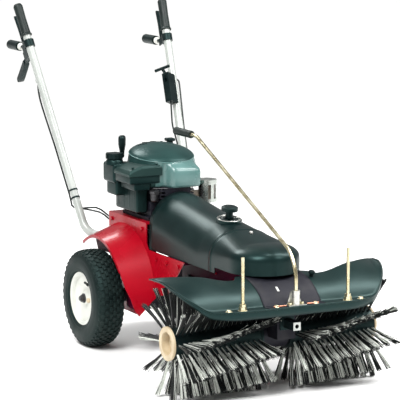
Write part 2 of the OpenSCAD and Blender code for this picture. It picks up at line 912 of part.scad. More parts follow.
module starter_cover() color([0.09, 0.11, 0.11]) {
    translate([0, crank_y, housing_top + 12])
        difference() {
            rotate_extrude()
                polygon([[0, 66], [28, 65], [56, 58.5], [78, 45], [91, 27], [97, 12], [starter_d / 2, 5],
                    [starter_d / 2, 0], [starter_d / 2 - 6, 0], [91, 10], [86, 24], [74, 40.5], [54, 53.5],
                    [27, 60.5], [0, 61]]);
            // slots over the operator's side
            for (k = [0 : 4]) {
                rotate([0, 0, k * 26 + 38])
                    translate([44, -4, 20])
                        cube([30, 8, 60]);
            }
        }
}

module fuel_tank() color([0.09, 0.09, 0.1]) {
    difference() {
        union() {
            translate([-tank_out, crank_y + tank_front, 548])
                cube([tank_out - tank_in, 94, tank_top - 548]);
            translate([-tank_out + 8, crank_y + tank_front, 508])
                cube([tank_out - 8 - tank_in, 80, 42]);
            // lower side box against the block
            translate([-128, crank_y - 74, 458])
                cube([128 - body_d / 2 - slip, 170, 80]);
            translate([cap_at.x, crank_y + cap_at.y, tank_top - 6])
                cylinder(d = 44, h = cap_z - tank_top + 6);
        }
        translate([-tank_out + 4, crank_y + tank_front + 4, 552])
            cube([tank_out - tank_in - 8, 86, tank_top - 556]);
        // corner beside the starter rope
        translate([grip_at.x - 10, crank_y + grip_at.y - 11, 500])
            cube([60, 60, 200]);
        translate([cap_at.x, crank_y + cap_at.y, tank_top - 14])
            cylinder(d = 32 + 2 * running, h = 60);
    }
    // wall of that corner
    translate([grip_at.x - 14, crank_y + tank_front + 2, 550])
        cube([4, 90, tank_top - 552]);
    translate([grip_at.x - 14, crank_y + grip_at.y - 15, 550])
        cube([-tank_in - grip_at.x + 14, 4, tank_top - 552]);
}

module fuel_cap() color([0.08, 0.08, 0.08]) {
    translate([cap_at.x, crank_y + cap_at.y, cap_z + air]) {
        cylinder(d = 54, h = 18);
        translate([0, 0, -14])
            cylinder(d = 32, h = 15);
        for (k = [0 : 5]) {
            rotate([0, 0, k * 60])
                translate([24, -5, 0])
                    cube([7, 10, 18]);
        }
    }
}

module air_cleaner() color([0.1, 0.12, 0.12]) {
    difference() {
        union() {
            translate([-cleaner_out, crank_y - cleaner_front, 560])
                cube([cleaner_out - tank_in, cleaner_front + tank_front - 2, cleaner_top - 560]);
            translate([-cleaner_out, crank_y - cleaner_front, 560])
                cube([cleaner_out - cleaner_in, cleaner_front - cleaner_depth, cleaner_top - 560]);
            translate([-146, crank_y - 96, 540])
                cube([146 - tank_in, 106, 21]);
            translate([-tank_in - 1, crank_y - 80, 540])
                cube([tank_in + 1 - body_d / 2 - slip, 90, housing_z - 540 - slip]);
        }
        translate([-cleaner_out + 4, crank_y - cleaner_front + 4, 564])
            cube([cleaner_out - tank_in - 8, cleaner_front + tank_front - 10, 44]);
        translate([-120, crank_y - cleaner_front + 4, 564])
            cube([120 - cleaner_in - 4, cleaner_front - cleaner_depth - 8, 44]);
        // sloping lid
        translate([-cleaner_out, crank_y - 170, cleaner_top - 14])
            rotate([0, -16, 0])
                translate([-60, 0, 0])
                    cube([110, 240, 60]);
    }
}

muffler_at = [128, -86];

module muffler() color([0.5, 0.48, 0.45]) {
    translate([muffler_at.x, crank_y + muffler_at.y, 490])
        cylinder(d = 56, h = 64);
    translate([fin_half + slip, crank_y + muffler_at.y - 8, 505])
        cube([muffler_at.x - fin_half - slip, 16, 20]);
}

module muffler_guard() color([0.75, 0.75, 0.74]) {
    translate([muffler_at.x, crank_y + muffler_at.y, 484])
        difference() {
            cylinder(d = 70, h = 76);
            translate([0, 0, -1])
                cylinder(d = 64, h = 73);
            for (k = [0 : 4]) {
                rotate([0, 0, -100 + k * 36])
                    translate([24, -5, 12])
                        cube([20, 10, 48]);
            }
            translate([-60, -12, -1])
                cube([60, 60, 60]);
        }
    // foot on the base
    translate([muffler_at.x - 33, crank_y + muffler_at.y - 18, base_z + base_t])
        cube([5, 10, 48]);
}

module starter_grip() color([0.07, 0.07, 0.07]) {
    translate([grip_at.x, crank_y + grip_at.y, housing_top + grip_gap])
        rotate([0, 0, atan2(grip_at.y, grip_at.x)]) {
            translate([-8, -15, 12])
                cube([16, 30, 62]);
            translate([-10, -19, 68])
                cube([20, 38, 14]);
            // start of the rope
            translate([0, 0, -60])
                cylinder(d = rope_d, h = 74);
        }
}

grip_gap = 0.6;
rope_d = 5;

shaft_top = housing_top - 20;

module crankshaft() color([0.62, 0.62, 0.62]) {
    translate([0, crank_y, belt_z - 40])
        cylinder(d = crank_d, h = shaft_top - belt_z + 40);
}

module flywheel() color([0.45, 0.45, 0.46]) {
    translate([0, crank_y, housing_z + 8]) {
        difference() {
            cylinder(d = 170, h = 26);
            translate([0, 0, -1])
                cylinder(d = crank_d + 2 * running, h = 60);
        }
        for (k = [0 : 11]) {
            rotate([0, 0, k * 30])
                translate([52, -2, 25])
                    cube([36, 4, 30]);
        }
    }
}

module engine_pulley() color([0.3, 0.3, 0.31]) {
    difference() {
        union() {
            translate([0, crank_y, belt_z - pulley_h / 2])
                vee_pulley(engine_pulley_d, pulley_h);
            translate([0, crank_y, drive_z])
                vee_pulley(drive_pulley_d, pulley_h);
        }
        translate([0, crank_y, belt_z - 80])
            cylinder(d = crank_d + 2 * running, h = 120);
    }
}

// Belt drive

module belt_loop(r1, r2, span, grow) {
    hull() {
        circle(r = r1 + grow, $fn = 40);
        translate([0, -span])
            circle(r = r2 + grow, $fn = 40);
    }
}

module brush_belt() color([0.05, 0.05, 0.05]) {
    translate([0, crank_y, belt_z - belt_w / 2])
        linear_extrude(belt_w)
            difference() {
                belt_loop(engine_pulley_d / 2, brush_pulley_d / 2, crank_y - swivel_y, 4);
                belt_loop(engine_pulley_d / 2, brush_pulley_d / 2, crank_y - swivel_y, 4 - belt_t);
            }
}

module drive_belt() color([0.05, 0.05, 0.05]) {
    translate([0, drive_y, drive_belt_z - belt_w / 2])
        linear_extrude(belt_w)
            difference() {
                belt_loop(drive_pulley_d / 2, drive_pulley_d / 2, drive_y - crank_y, 4);
                belt_loop(drive_pulley_d / 2, drive_pulley_d / 2, drive_y - crank_y, 4 - belt_t);
            }
}

module cover_section(half, y, low, top, grow) {
    r = half + grow;
    translate([0, y, 0])
        rotate([90, 0, 0])
            linear_extrude(0.5)
                union() {
                    translate([0, top - half])
                        intersection() {
                            circle(r = r, $fn = 48);
                            translate([-r, 0])
                                square([2 * r, r]);
                        }
                    translate([-r, low])
                        square([2 * r, top - half - low]);
                }
}

knob_y = axle_y - 526;
cover_back_y = axle_y - deck_front - 4;
cover_low = cross_z + carrier_t;

module cover_body(grow, low) {
    hull() {
        cover_section(cover_half, cover_back_y - (grow < 0 ? -1 : 0), low, cover_top_rear, grow);
        cover_section(cover_half, knob_y, low, cover_top_mid, grow);
        translate([0, swivel_y, low])
            cylinder(r = cover_half + grow, h = cover_top_front - 48 - low + grow, $fn = 48);
        translate([0, swivel_y, low])
            cylinder(r = cover_half - 10 + grow, h = cover_top_front - 22 - low + grow, $fn = 48);
        translate([0, swivel_y, low])
            cylinder(r = 62 + grow, h = cover_top_front - low + grow, $fn = 32);
    }
}

module cover_shell() {
    difference() {
        cover_body(0, cover_low);
        cover_body(-cover_wall, cover_low - 10);
        // the front half sits higher, over the hood
        translate([-200, swivel_y - 300, cover_low - 20])
            cube([400, axle_y - 650 - swivel_y + 300, carrier_z + 1 - cover_low + 20]);
    }
}

knob_tilt = 7;
knob_z = cover_top_mid - 1;
spindle_d = 10;

module belt_cover_rear() color([0.09, 0.09, 0.1]) {
    difference() {
        intersection() {
            cover_shell();
            translate([-300, axle_y - cover_joint, 300])
                cube([600, 600, 300]);
        }
        translate([0, knob_y, knob_z])
            rotate([knob_tilt, 0, 0])
                translate([0, 0, -20])
                    cylinder(d = spindle_d + 2 * running, h = 60);
    }
    // dial ring
    difference() {
        translate([0, knob_y, knob_z])
            rotate([knob_tilt, 0, 0])
                translate([0, 0, -6])
                    cylinder(d = 84, h = 12);
        cover_body(-1, cover_low - 10);
        translate([0, knob_y, knob_z])
            rotate([knob_tilt, 0, 0])
                translate([0, 0, -20])
                    cylinder(d = spindle_d + 2 * running, h = 60);
    }
}

module belt_cover_front() color([0.1, 0.1, 0.11]) {
    intersection() {
        cover_shell();
        translate([-300, swivel_y - 300, 300])
            cube([600, axle_y - cover_joint - swivel_y + 300, 300]);
    }
}

module selector_knob() color([0.06, 0.06, 0.06]) {
    translate([0, knob_y, knob_z])
        rotate([knob_tilt, 0, 0])
            translate([0, 0, 6 + air]) {
                cylinder(d = 24, h = 28);
                translate([0, 0, 26])
                    cylinder(d = 54, h = 12);
                translate([0, 0, 36])
                    cylinder(d1 = 54, d2 = 42, h = 5);
                translate([0, 0, -24])
                    cylinder(d = spindle_d, h = 26);
                translate([0, 0, -24])
                    cylinder(d = 20, h = 4, $fn = 6);
            }
}

// Brush head

module gearbox_case() color([0.16, 0.16, 0.17]) {
    difference() {
        union() {
            translate([0, brush_y, brush_z])
                along_x(2 * case_r, -case_half, case_half);
            translate([0, swivel_y, brush_z - 66])
                cylinder(d = neck_d, h = carrier_top - brush_z + 66);
            translate([-30, brush_y, brush_z - 30])
                cube([60, gear_centres, 60]);
            // post that carries the hood shelf and the socket
            translate([-32, brush_y - post_reach, brush_z])
                cube([64, post_reach - 24, shelf_z - hood_sheet - brush_z]);
            translate([-32, shelf_y + 6, shelf_z - hood_sheet - 26])
                cube([64, shelf_front - 6 - 30, 26]);
        }
        translate([0, brush_y, brush_z]) {
            along_x(brush_shaft_d + 2 * running, -100, 100);
            along_x(2 * (wheel_r + addendum) + 6, -wheel_w / 2 - 3, wheel_w / 2 + 3);
        }
        translate([0, swivel_y, brush_z - 36])
            cylinder(r = worm_r + addendum + 2, h = 72);
        translate([0, swivel_y, brush_z - 60])
            cylinder(d = worm_shaft_d + 2 * running, h = 400);
        // holes of the shelf bolts
        for (x = post_bolts) {
            translate([x, bracket_y, shelf_z - hood_sheet - 20])
                cylinder(d = bolt_d + 2 * slip, h = 100);
        }
    }
}

function worm_reach(a) =
    let (u = a * worm_starts / 360, t = abs(u - floor(u) - 0.5))
    t < 0.10 ? worm_r + addendum : t > 0.26 ? worm_r - dedendum
        : worm_r + addendum - (t - 0.10) / 0.16 * (addendum + dedendum);

module worm_thread() {
    steps = 30;
    turn = 360 * worm_l / worm_lead;
    rotate([0, 0, -turn / 2])
        linear_extrude(worm_l, twist = -turn, slices = 32)
            polygon([for (i = [0 : steps - 1])
                let (a = 360 * i / steps) worm_reach(a) * [cos(a), sin(a)]]);
}

module worm_shaft() color([0.6, 0.6, 0.6]) {
    translate([0, swivel_y, brush_z - worm_l / 2])
        worm_thread();
    translate([0, swivel_y, brush_z - 56])
        cylinder(d = worm_shaft_d, h = 60);
    translate([0, swivel_y, brush_z])
        cylinder(d = worm_shaft_d, h = belt_z + pulley_h / 2 + 4 - brush_z);
}

module worm_wheel() color([0.7, 0.52, 0.25]) {
    pitch = 360 / wheel_teeth;
    lean = 360 * (worm_lead / (2 * PI * worm_r)) * wheel_w / (2 * PI * wheel_r);
    translate([0, brush_y, brush_z])
        difference() {
            translate([-wheel_w / 2, 0, 0])
                rotate([90, 0, 90])
                    rotate([0, 0, -lean / 2])
                        linear_extrude(wheel_w, twist = -lean, slices = 4)
                            wheel_outline(pitch);
            along_x(brush_shaft_d + 2 * running, -50, 50);
        }
}

module wheel_outline(pitch) {
    polygon([for (k = [0 : wheel_teeth - 1]) for (e = [[-0.30, -1], [-0.12, 1], [0.12, 1], [0.30, -1]])
        let (a = (k + 0.5 + e.x) * pitch, r = e.y > 0 ? wheel_r + addendum : wheel_r - dedendum)
        r * [cos(a), sin(a)]]);
}

module brush_pulley() color([0.3, 0.3, 0.31]) {
    translate([0, swivel_y, belt_z - pulley_h / 2])
        difference() {
            vee_pulley(brush_pulley_d, pulley_h);
            translate([0, 0, -1])
                cylinder(d = worm_shaft_d + 2 * running, h = 60);
        }
}

module brush_shaft() color([0.6, 0.6, 0.6]) {
    half = brush_w / 2 - 18;
    translate([0, brush_y, brush_z])
        along_x(brush_shaft_d, -half, half);
}

core_in = core_d - 2 * core_wall;
hub_depth = 26;

module hub_profile() {
    // flange, spigot in the core, web and boss on the shaft
    translate([core_d / 2 - 14, -hub_flange])
        square([17, hub_flange]);
    translate([core_in / 2 - slip - 7, -hub_flange])
        square([7, hub_depth + hub_flange]);
    translate([20, hub_depth - 6])
        square([core_in / 2 - slip - 22, 6]);
    translate([brush_shaft_d / 2 + running, hub_depth - 12])
        square([9, 20]);
}

module brush_hubs() color([0.86, 0.8, 0.66]) {
    translate([0, brush_y, brush_z])
        for (side = [-1, 1]) {
            translate([side * (brush_w / 2), 0, 0])
                rotate([0, -side * 90, 0])
                    rotate_extrude()
                        hub_profile();
            translate([side * (brush_gap / 2), 0, 0])
                rotate([0, side * 90, 0])
                    rotate_extrude()
                        hub_profile();
        }
}

strand_root = core_d / 2 - 3;
half_l = (brush_w - brush_gap) / 2;

function spoke(side, x, r, a) = [side * x, brush_y + r * sin(a), brush_z - r * cos(a)];

// one strand of three sides: foot in the core, tip at the brush diameter
function strand(side, x0, x1, a0, a1) = [for (k = [0 : 5])
    let (r = k < 3 ? strand_root : brush_d / 2, x = k < 3 ? x0 : x1, a = k < 3 ? a0 : a1,
        size = k < 3 ? 2.4 : 1.6, turn = (k % 3) * 120)
    spoke(side, x + size * cos(turn), r, a + size * sin(turn) / r * 180 / PI)];

function strand_faces(n, side) =
    let (b = n * 6)
    [for (f = [[0, 2, 1], [3, 4, 5], [0, 1, 4], [0, 4, 3], [1, 2, 5], [1, 5, 4], [2, 0, 3], [2, 3, 5]])
        side > 0 ? [b + f.x, b + f.y, b + f.z] : [b + f.x, b + f.z, b + f.y]];

row_first = 22;

module strands(side) {
    first = brush_gap / 2 + 10;
    step = (half_l - 20) / (tufts - 1);
    points = [for (row = [0 : tuft_rows - 1]) for (k = [0 : tufts - 1]) for (s = [-1, 1])
        let (x = first + k * step, a = row_first + row * 360 / tuft_rows - side * row_turn * 2 * x / brush_w,
            out = k == tufts - 1 ? 24 : k == tufts - 2 ? 8 : k == 0 ? -14 : k == 1 ? -5 : 0)
        each strand(side, x + s * 3, x + out + s * 5, a, a + s * 2.5)];
    count = tuft_rows * tufts * 2;
    polyhedron(points = points, faces = [for (n = [0 : count - 1]) each strand_faces(n, side)], convexity = 20);
}

module brush_half(side) color([0.8, 0.8, 0.76]) {
    x0 = brush_gap / 2;
    translate([0, brush_y, brush_z])
        difference() {
            along_x(core_d, side > 0 ? x0 : -brush_w / 2, side > 0 ? brush_w / 2 : -x0);
            along_x(core_in, -brush_w, brush_w);
        }
    strands(side);
}

module right_brush() brush_half(-1);
module left_brush() brush_half(1);

// the hood follows the bristles, with rounded front corners, raised end lips, a front shelf and a skirt
hood_corner = 215;
hood_lip = 16;
hood_flare = 17;
hood_lip_w = 45;
hood_mid = -3;
hood_back = 10;
hood_tip = -16;
hood_steps = 10;
hood_lip_x = hood_w / 2 - hood_lip_w;
hood_half = [hood_w / 2, hood_w / 2 - 5, hood_w / 2 - 14, hood_w / 2 - 28, hood_lip_x, hood_w / 2 - 68,
    hood_w / 2 - 96, hood_w / 2 - 126, hood_w / 2 - 160, hood_w / 2 - hood_corner, 150, 118, 60];
hood_columns = concat([for (x = hood_half) -x], [for (i = [len(hood_half) - 1 : -1 : 0]) hood_half[i]]);

function hood_r(s) = hood_out + hood_lip * pow(max(0, (s - hood_lip_x) / hood_lip_w), 2);
function hood_ease(t) = let (u = min(1, max(0, t))) u * u * (3 - 2 * u);
function hood_back_r(s, k) = max(hood_r(s),
    hood_out + hood_flare * hood_ease((s - 150) / 120) * pow(1 - k / hood_steps, 3));
function hood_edge(s) =
    let (over = max(0, s - hood_w / 2 + hood_corner))
    shelf_front - hood_corner + sqrt(hood_corner * hood_corner - over * over);
function hood_turn(s) = min(acos((shelf_z - brush_z) / hood_r(s)), asin((hood_edge(s) - 6) / hood_r(s)));
function hood_start(s) = s < 120 ? hood_mid
    : hood_back + (hood_tip - hood_back) * pow(max(0, (s - 150) / (hood_w / 2 - 150)), 2);
function hood_skirt(s) = skirt - 20 * pow(max(0, (s - hood_w / 2 + hood_corner) / hood_corner), 2);

// one section of the hood, outer face when deep is 0 and inner face when deep is the sheet
function hood_section(x, deep) =
    let (s = abs(x), a0 = hood_start(s), a1 = hood_turn(s), rim = hood_r(s) * cos(a1),
        edge = hood_edge(s))
    concat(
        [for (k = [0 : hood_steps])
            let (a = a0 + (a1 - a0) * k / hood_steps, r = hood_back_r(s, k) - deep)
            [x, brush_y - r * sin(a), brush_z + r * cos(a)]],
        [[x, brush_y - edge + deep, brush_z + rim - deep],
            [x, brush_y - edge + deep, brush_z + rim - hood_skirt(s)]]);

module hood_sheet_body() {
    n = len(hood_columns);
    m = hood_steps + 3;
    points = concat([for (x = hood_columns) each hood_section(x, 0)],
        [for (x = hood_columns) each hood_section(x, hood_sheet)]);
    low = n * m;
    faces = concat(
        [for (i = [0 : n - 2]) for (k = [0 : m - 2]) each
            let (a = i * m + k) [[a, a + m, a + m + 1], [a, a + m + 1, a + 1]]],
        [for (i = [0 : n - 2]) for (k = [0 : m - 2]) each
            let (a = low + i * m + k) [[a, a + m + 1, a + m], [a, a + 1, a + m + 1]]],
        [for (i = [0 : n - 2]) each
            let (a = i * m, b = low + i * m) [[a, b + m, a + m], [a, b, b + m]]],
        [for (i = [0 : n - 2]) each
            let (a = i * m + m - 1, b = low + i * m + m - 1) [[a, a + m, b + m], [a, b + m, b]]],
        [for (k = [0 : m - 2]) each [[k, low + k + 1, low + k], [k, k + 1, low + k + 1]]],
        [for (k = [0 : m - 2]) each
            let (a = (n - 1) * m + k) [[a, low + a, low + a + 1], [a, low + a + 1, a + 1]]]);
    polyhedron(points = points, faces = faces, convexity = 8);
}

module brush_hood() color([0.09, 0.1, 0.12]) {
    difference() {
        hood_sheet_body();
        for (x = concat(shelf_bolts, post_bolts)) {
            translate([x, shelf_y + shelf_in, shelf_z - 20])
                cylinder(d = bolt_d + 2 * slip, h = 40);
        }
        for (side = [-1, 1]) {
            translate([side * rod_spacing / 2, shelf_y + shelf_in, shelf_z - 20])
                cylinder(d = thread_d + 2 * slip, h = 40);
        }
    }
}

nut = 17;
nut_h = 8;
// thread of a rod through its nuts, and the shoulder above them
thread_d = rod_d - 1;
rod_shoulder = shelf_z + nut_h + 1.5;

module nut_on(p, h) {
    translate(p)
        difference() {
            cylinder(d = nut, h = h, $fn = 6);
            translate([0, 0, -1])
                cylinder(d = thread_d + 2 * running, h = h + 2);
        }
}

module hood_fasteners() color([0.75, 0.68, 0.45]) {
    for (side = [-1, 1]) {
        nut_on([side * rod_spacing / 2, shelf_y + shelf_in, shelf_z], nut_h);
        nut_on([side * rod_spacing / 2, shelf_y + shelf_in, shelf_z - hood_sheet - nut_h], nut_h);
    }
    for (x = shelf_bolts) {
        translate([x, shelf_y + shelf_in, shelf_z])
            cylinder(d = bolt_head, h = bolt_head_h, $fn = 6);
        translate([x, shelf_y + shelf_in, shelf_z - hood_sheet - 8])
            cylinder(d = bolt_d, h = hood_sheet + 9);
    }
    for (x = post_bolts) {
        translate([x, bracket_y, shelf_z + bracket_base])
            cylinder(d = bolt_head, h = bolt_head_h, $fn = 6);
        translate([x, bracket_y, shelf_z - hood_sheet - 18])
            cylinder(d = bolt_d, h = hood_sheet + bracket_base + 19);
    }
}

module support_rods() color([0.76, 0.68, 0.42]) {
    for (side = [-1, 1]) {
        translate([side * rod_spacing / 2, shelf_y + shelf_in, 0]) {
            translate([0, 0, shelf_z - hood_sheet - nut_h - 8])
                cylinder(d = thread_d, h = rod_shoulder - shelf_z + hood_sheet + nut_h + 9);
            translate([0, 0, rod_shoulder])
                cylinder(d = rod_d, h = rod_top - rod_shoulder);
        }
    }
}

bracket_y = shelf_y + shelf_in;
bracket_base = 4;

module lever_bracket() color([0.82, 0.8, 0.7]) {
    difference() {
        translate([-30, bracket_y - 14, shelf_z])
            cube([60, 28, bracket_base]);
        for (x = post_bolts) {
            translate([x, bracket_y, shelf_z - 1])
                cylinder(d = bolt_d + 2 * slip, h = 10);
        }
    }
    translate([0, bracket_y, shelf_z + bracket_base - 1])
        difference() {
            cylinder(d = 26, h = 44);
            translate([0, 0, 5])
                cylinder(d = lever_d + 2 * slip, h = 60);
        }
    block_xz(bracket_y + 9, 4)
        polygon([[-26, shelf_z + 2], [26, shelf_z + 2], [12, shelf_z + 44], [-12, shelf_z + 44]]);
}

lever_foot = [0, bracket_y, shelf_z + bracket_base + 5];
lever_knee = [0, bracket_y, shelf_z + 146];
lever_top = [0, axle_y - 292, lever_grip_z];
lever_end = [0, axle_y - 200, lever_grip_z];

// points of a bend of radius r at p, between the directions u and v
function bend_line(p, u, v, r, steps) =
    let (turn = acos(u * v), back = r * tan(turn / 2), mid = p + unit(v - u) * r / cos(turn / 2), e = unit(p - u * back - mid))
    [for (k = [0 : steps]) mid + r * (e * cos(turn * k / steps) + u * sin(turn * k / steps))];

module swivel_lever() color([0.76, 0.67, 0.36]) {
    u = unit(lever_knee - lever_foot);
    v = unit(lever_top - lever_knee);
    w = unit(lever_end - lever_top);
    round_bar(concat([lever_foot], bend_line(lever_knee, u, v, 110, 8), bend_line(lever_top, v, w, 70, 5),
        [lever_end]), lever_d, 16, [1, 0, 0]);
}

module swivel_grip() color([0.06, 0.06, 0.06]) {
    translate([0, axle_y - 258, lever_grip_z])
        difference() {
            rotate([-90, 0, 0])
                rotate_extrude()
                    polygon([[0, 0], [12, 0], [13, 4], [12, 30], [13, 60], [13, lever_grip_l - 6],
                        [10, lever_grip_l], [0, lever_grip_l]]);
            along_y(lever_d + 2 * slip, -1, 58 + slip);
        }
}

socket_bore = 12;
socket_z = 228;
socket_front = shelf_y + 8;

module accessory_socket() color([0.85, 0.84, 0.8]) {
    post = brush_y - post_reach;
    difference() {
        translate([-13, socket_front, socket_z - 13])
            cube([26, post - socket_front, 26]);
        translate([0, 0, socket_z])
            along_y(socket_bore, socket_front - 1, socket_front + 40);
    }
    translate([-24, post - 5, socket_z - 22])
        cube([48, 5, 44]);
}

chassis_frame();
right_fender();
left_fender();
head_carrier();
transaxle_case();
drive_pulley();
right_handle_tube();
left_handle_tube();
handle_clamps();
handle_grips();
lever_clamps();
throttle_case();
brush_cable();
reverse_cable();
drive_cable();
throttle_cable();
engine_block();
blower_housing();
starter_cover();
fuel_tank();
air_cleaner();
muffler();
muffler_guard();
belt_cover_rear();
belt_cover_front();
brush_belt();
drive_belt();
chassis_bolts();
axle_shaft();
right_tyre();
left_tyre();
right_rim();
left_rim();
gearbox_case();
brush_hood();
hood_fasteners();
support_rods();
swivel_lever();
swivel_grip();
lever_bracket();
accessory_socket();
brush_shaft();
worm_wheel();
right_brush();
left_brush();
brush_hubs();
worm_shaft();
brush_pulley();
crankshaft();
flywheel();
engine_pulley();
brush_lever();
reverse_lever();
drive_lever();
throttle_lever();
idler_arm();
idler_pulley();
selector_knob();
fuel_cap();
starter_grip();
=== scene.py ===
import bpy
import bmesh
import json
import math
import random
from mathutils import Matrix, Vector

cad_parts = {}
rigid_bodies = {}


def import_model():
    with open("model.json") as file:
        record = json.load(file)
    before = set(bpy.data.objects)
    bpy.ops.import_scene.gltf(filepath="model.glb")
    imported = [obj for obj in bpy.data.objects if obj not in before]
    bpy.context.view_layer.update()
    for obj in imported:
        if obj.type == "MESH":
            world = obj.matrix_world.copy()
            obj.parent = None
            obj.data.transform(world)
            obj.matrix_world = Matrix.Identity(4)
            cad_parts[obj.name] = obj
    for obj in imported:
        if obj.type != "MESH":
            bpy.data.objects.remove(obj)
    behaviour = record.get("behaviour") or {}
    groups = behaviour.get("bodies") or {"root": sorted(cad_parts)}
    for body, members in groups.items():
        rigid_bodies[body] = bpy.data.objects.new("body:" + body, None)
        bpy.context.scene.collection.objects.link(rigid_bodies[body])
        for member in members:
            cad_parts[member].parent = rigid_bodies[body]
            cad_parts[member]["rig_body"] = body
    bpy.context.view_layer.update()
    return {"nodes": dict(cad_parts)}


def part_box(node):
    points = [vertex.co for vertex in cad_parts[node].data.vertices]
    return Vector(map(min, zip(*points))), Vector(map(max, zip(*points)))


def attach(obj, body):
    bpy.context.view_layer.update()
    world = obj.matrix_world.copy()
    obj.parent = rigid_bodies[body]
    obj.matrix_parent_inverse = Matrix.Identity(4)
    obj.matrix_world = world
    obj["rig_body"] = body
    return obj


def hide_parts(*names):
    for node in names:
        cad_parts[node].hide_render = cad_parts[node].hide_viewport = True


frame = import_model()
nodes = frame["nodes"]
mm = 0.001
random.seed(11)
print("frame loaded,", len(nodes), "nodes")


# where the main axes run, read from the frame
def middle(node):
    low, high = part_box(node)
    return (low + high) / 2


wheelAxis = middle("axle_shaft")
brushAxis = middle("brush_shaft")
crankAxis = middle("crankshaft")
handleTilt = {"lean": 28.2, "splay": 5.8, "clamp": (268.877, 475.621, 987.015)}  # clamp is behind the axle


def turned(axis, degrees):
    return Matrix.Rotation(math.radians(degrees), 4, axis)


def handleFrame(side):
    clampX, clampY, clampZ = handleTilt["clamp"]
    place = Vector((side * clampX * mm, wheelAxis.y + clampY * mm, clampZ * mm))
    turn = turned("Y", side * handleTilt["splay"]) @ turned("X", -handleTilt["lean"])
    return Matrix.Translation(place) @ turn


def atHandle(side, x, y, z):
    return handleFrame(side) @ Vector((x * mm, y * mm, z * mm))


def addObject(name, data):
    thing = bpy.data.objects.new(name, data)
    bpy.context.scene.collection.objects.link(thing)
    return thing


# camera at the photograph's angle
cameraPlace = {"ahead": -6938.5, "across": -3343.2, "up": 1700.3, "yaw": 26.8, "pitch": 9.0, "lens": 205.87}


def addCamera():
    data = bpy.data.cameras.new("photoCamera")
    data.lens = cameraPlace["lens"]
    data.sensor_width = 36
    data.clip_end = 100
    eye = addObject("photoCamera", data)
    eye.location = (cameraPlace["across"] * mm, cameraPlace["ahead"] * mm + wheelAxis.y,
                    cameraPlace["up"] * mm)
    eye.rotation_euler = (math.radians(90 - cameraPlace["pitch"]), 0, math.radians(-cameraPlace["yaw"]))
    bpy.context.scene.camera = eye


addCamera()


# finishes
def setInputs(node, values):
    for name, value in values.items():
        node.inputs[name].default_value = value


def addNode(tree, kind, values):
    node = tree.nodes.new(kind)
    setInputs(node, values)
    return node


def addNoise(tree, scale, detail, stretch=(1, 1, 1)):
    place = tree.nodes.new("ShaderNodeTexCoord")
    mapping = addNode(tree, "ShaderNodeMapping", {"Scale": stretch})
    noise = addNode(tree, "ShaderNodeTexNoise", {"Scale": scale, "Detail": detail})
    tree.links.new(place.outputs["Object"], mapping.inputs["Vector"])
    tree.links.new(mapping.outputs["Vector"], noise.inputs["Vector"])
    return noise.outputs["Fac"]


def addRamp(tree, source, stops):
    ramp = tree.nodes.new("ShaderNodeValToRGB")
    for element, (position, colour) in zip(ramp.color_ramp.elements, stops):
        element.position = position
        element.color = (*colour, 1)
    tree.links.new(source, ramp.inputs["Fac"])
    return ramp.outputs["Color"]


def coatedFinish(name, dark, light, rough, metal=0.0, mottle=18, grain=600, height=0.08, coat=0.0, wear=None,
                 stretch=(1, 1, 1), gloss=0.5, tint=(1, 1, 1)):
    finish = bpy.data.materials.new(name)
    finish.use_nodes = True
    tree = finish.node_tree
    shader = tree.nodes["Principled BSDF"]
    broad = addNoise(tree, mottle, 5.0, stretch)
    colour = addRamp(tree, broad, [(0.32, dark), (0.68, light)])
    if wear:  # a second, sparse noise leaves scuffs or dust
        patches = addNoise(tree, wear["scale"], 8.0)
        mask = addRamp(tree, patches, [(wear["from"], (0, 0, 0)), (wear["to"], (wear["most"],) * 3)])
        mix = tree.nodes.new("ShaderNodeMix")
        mix.data_type = "RGBA"
        mix.inputs["B"].default_value = (*wear["colour"], 1)
        tree.links.new(mask, mix.inputs["Factor"])
        tree.links.new(colour, mix.inputs["A"])
        colour = mix.outputs["Result"]
    tree.links.new(colour, shader.inputs["Base Color"])
    scaled = addNode(tree, "ShaderNodeMapRange", {"From Min": 0.3, "From Max": 0.7, "To Min": rough[0],
                                                  "To Max": rough[1]})
    tree.links.new(broad, scaled.inputs["Value"])
    tree.links.new(scaled.outputs["Result"], shader.inputs["Roughness"])
    bump = addNode(tree, "ShaderNodeBump", {"Strength": height, "Distance": 0.001})
    tree.links.new(addNoise(tree, grain, 3.0, stretch), bump.inputs["Height"])
    tree.links.new(bump.outputs["Normal"], shader.inputs["Normal"])
    setInputs(shader, {"Metallic": metal, "Coat Weight": coat, "Coat Roughness": 0.06,
                       "Specular IOR Level": gloss, "Specular Tint": (*tint, 1)})
    return finish


dustWear = {"scale": 9, "from": 0.58, "to": 0.80, "most": 0.10, "colour": (0.20, 0.19, 0.17)}
chipWear = {"scale": 60, "from": 0.70, "to": 0.74, "most": 0.5, "colour": (0.16, 0.01, 0.01)}
duskTint = (0.52, 0.92, 0.88)
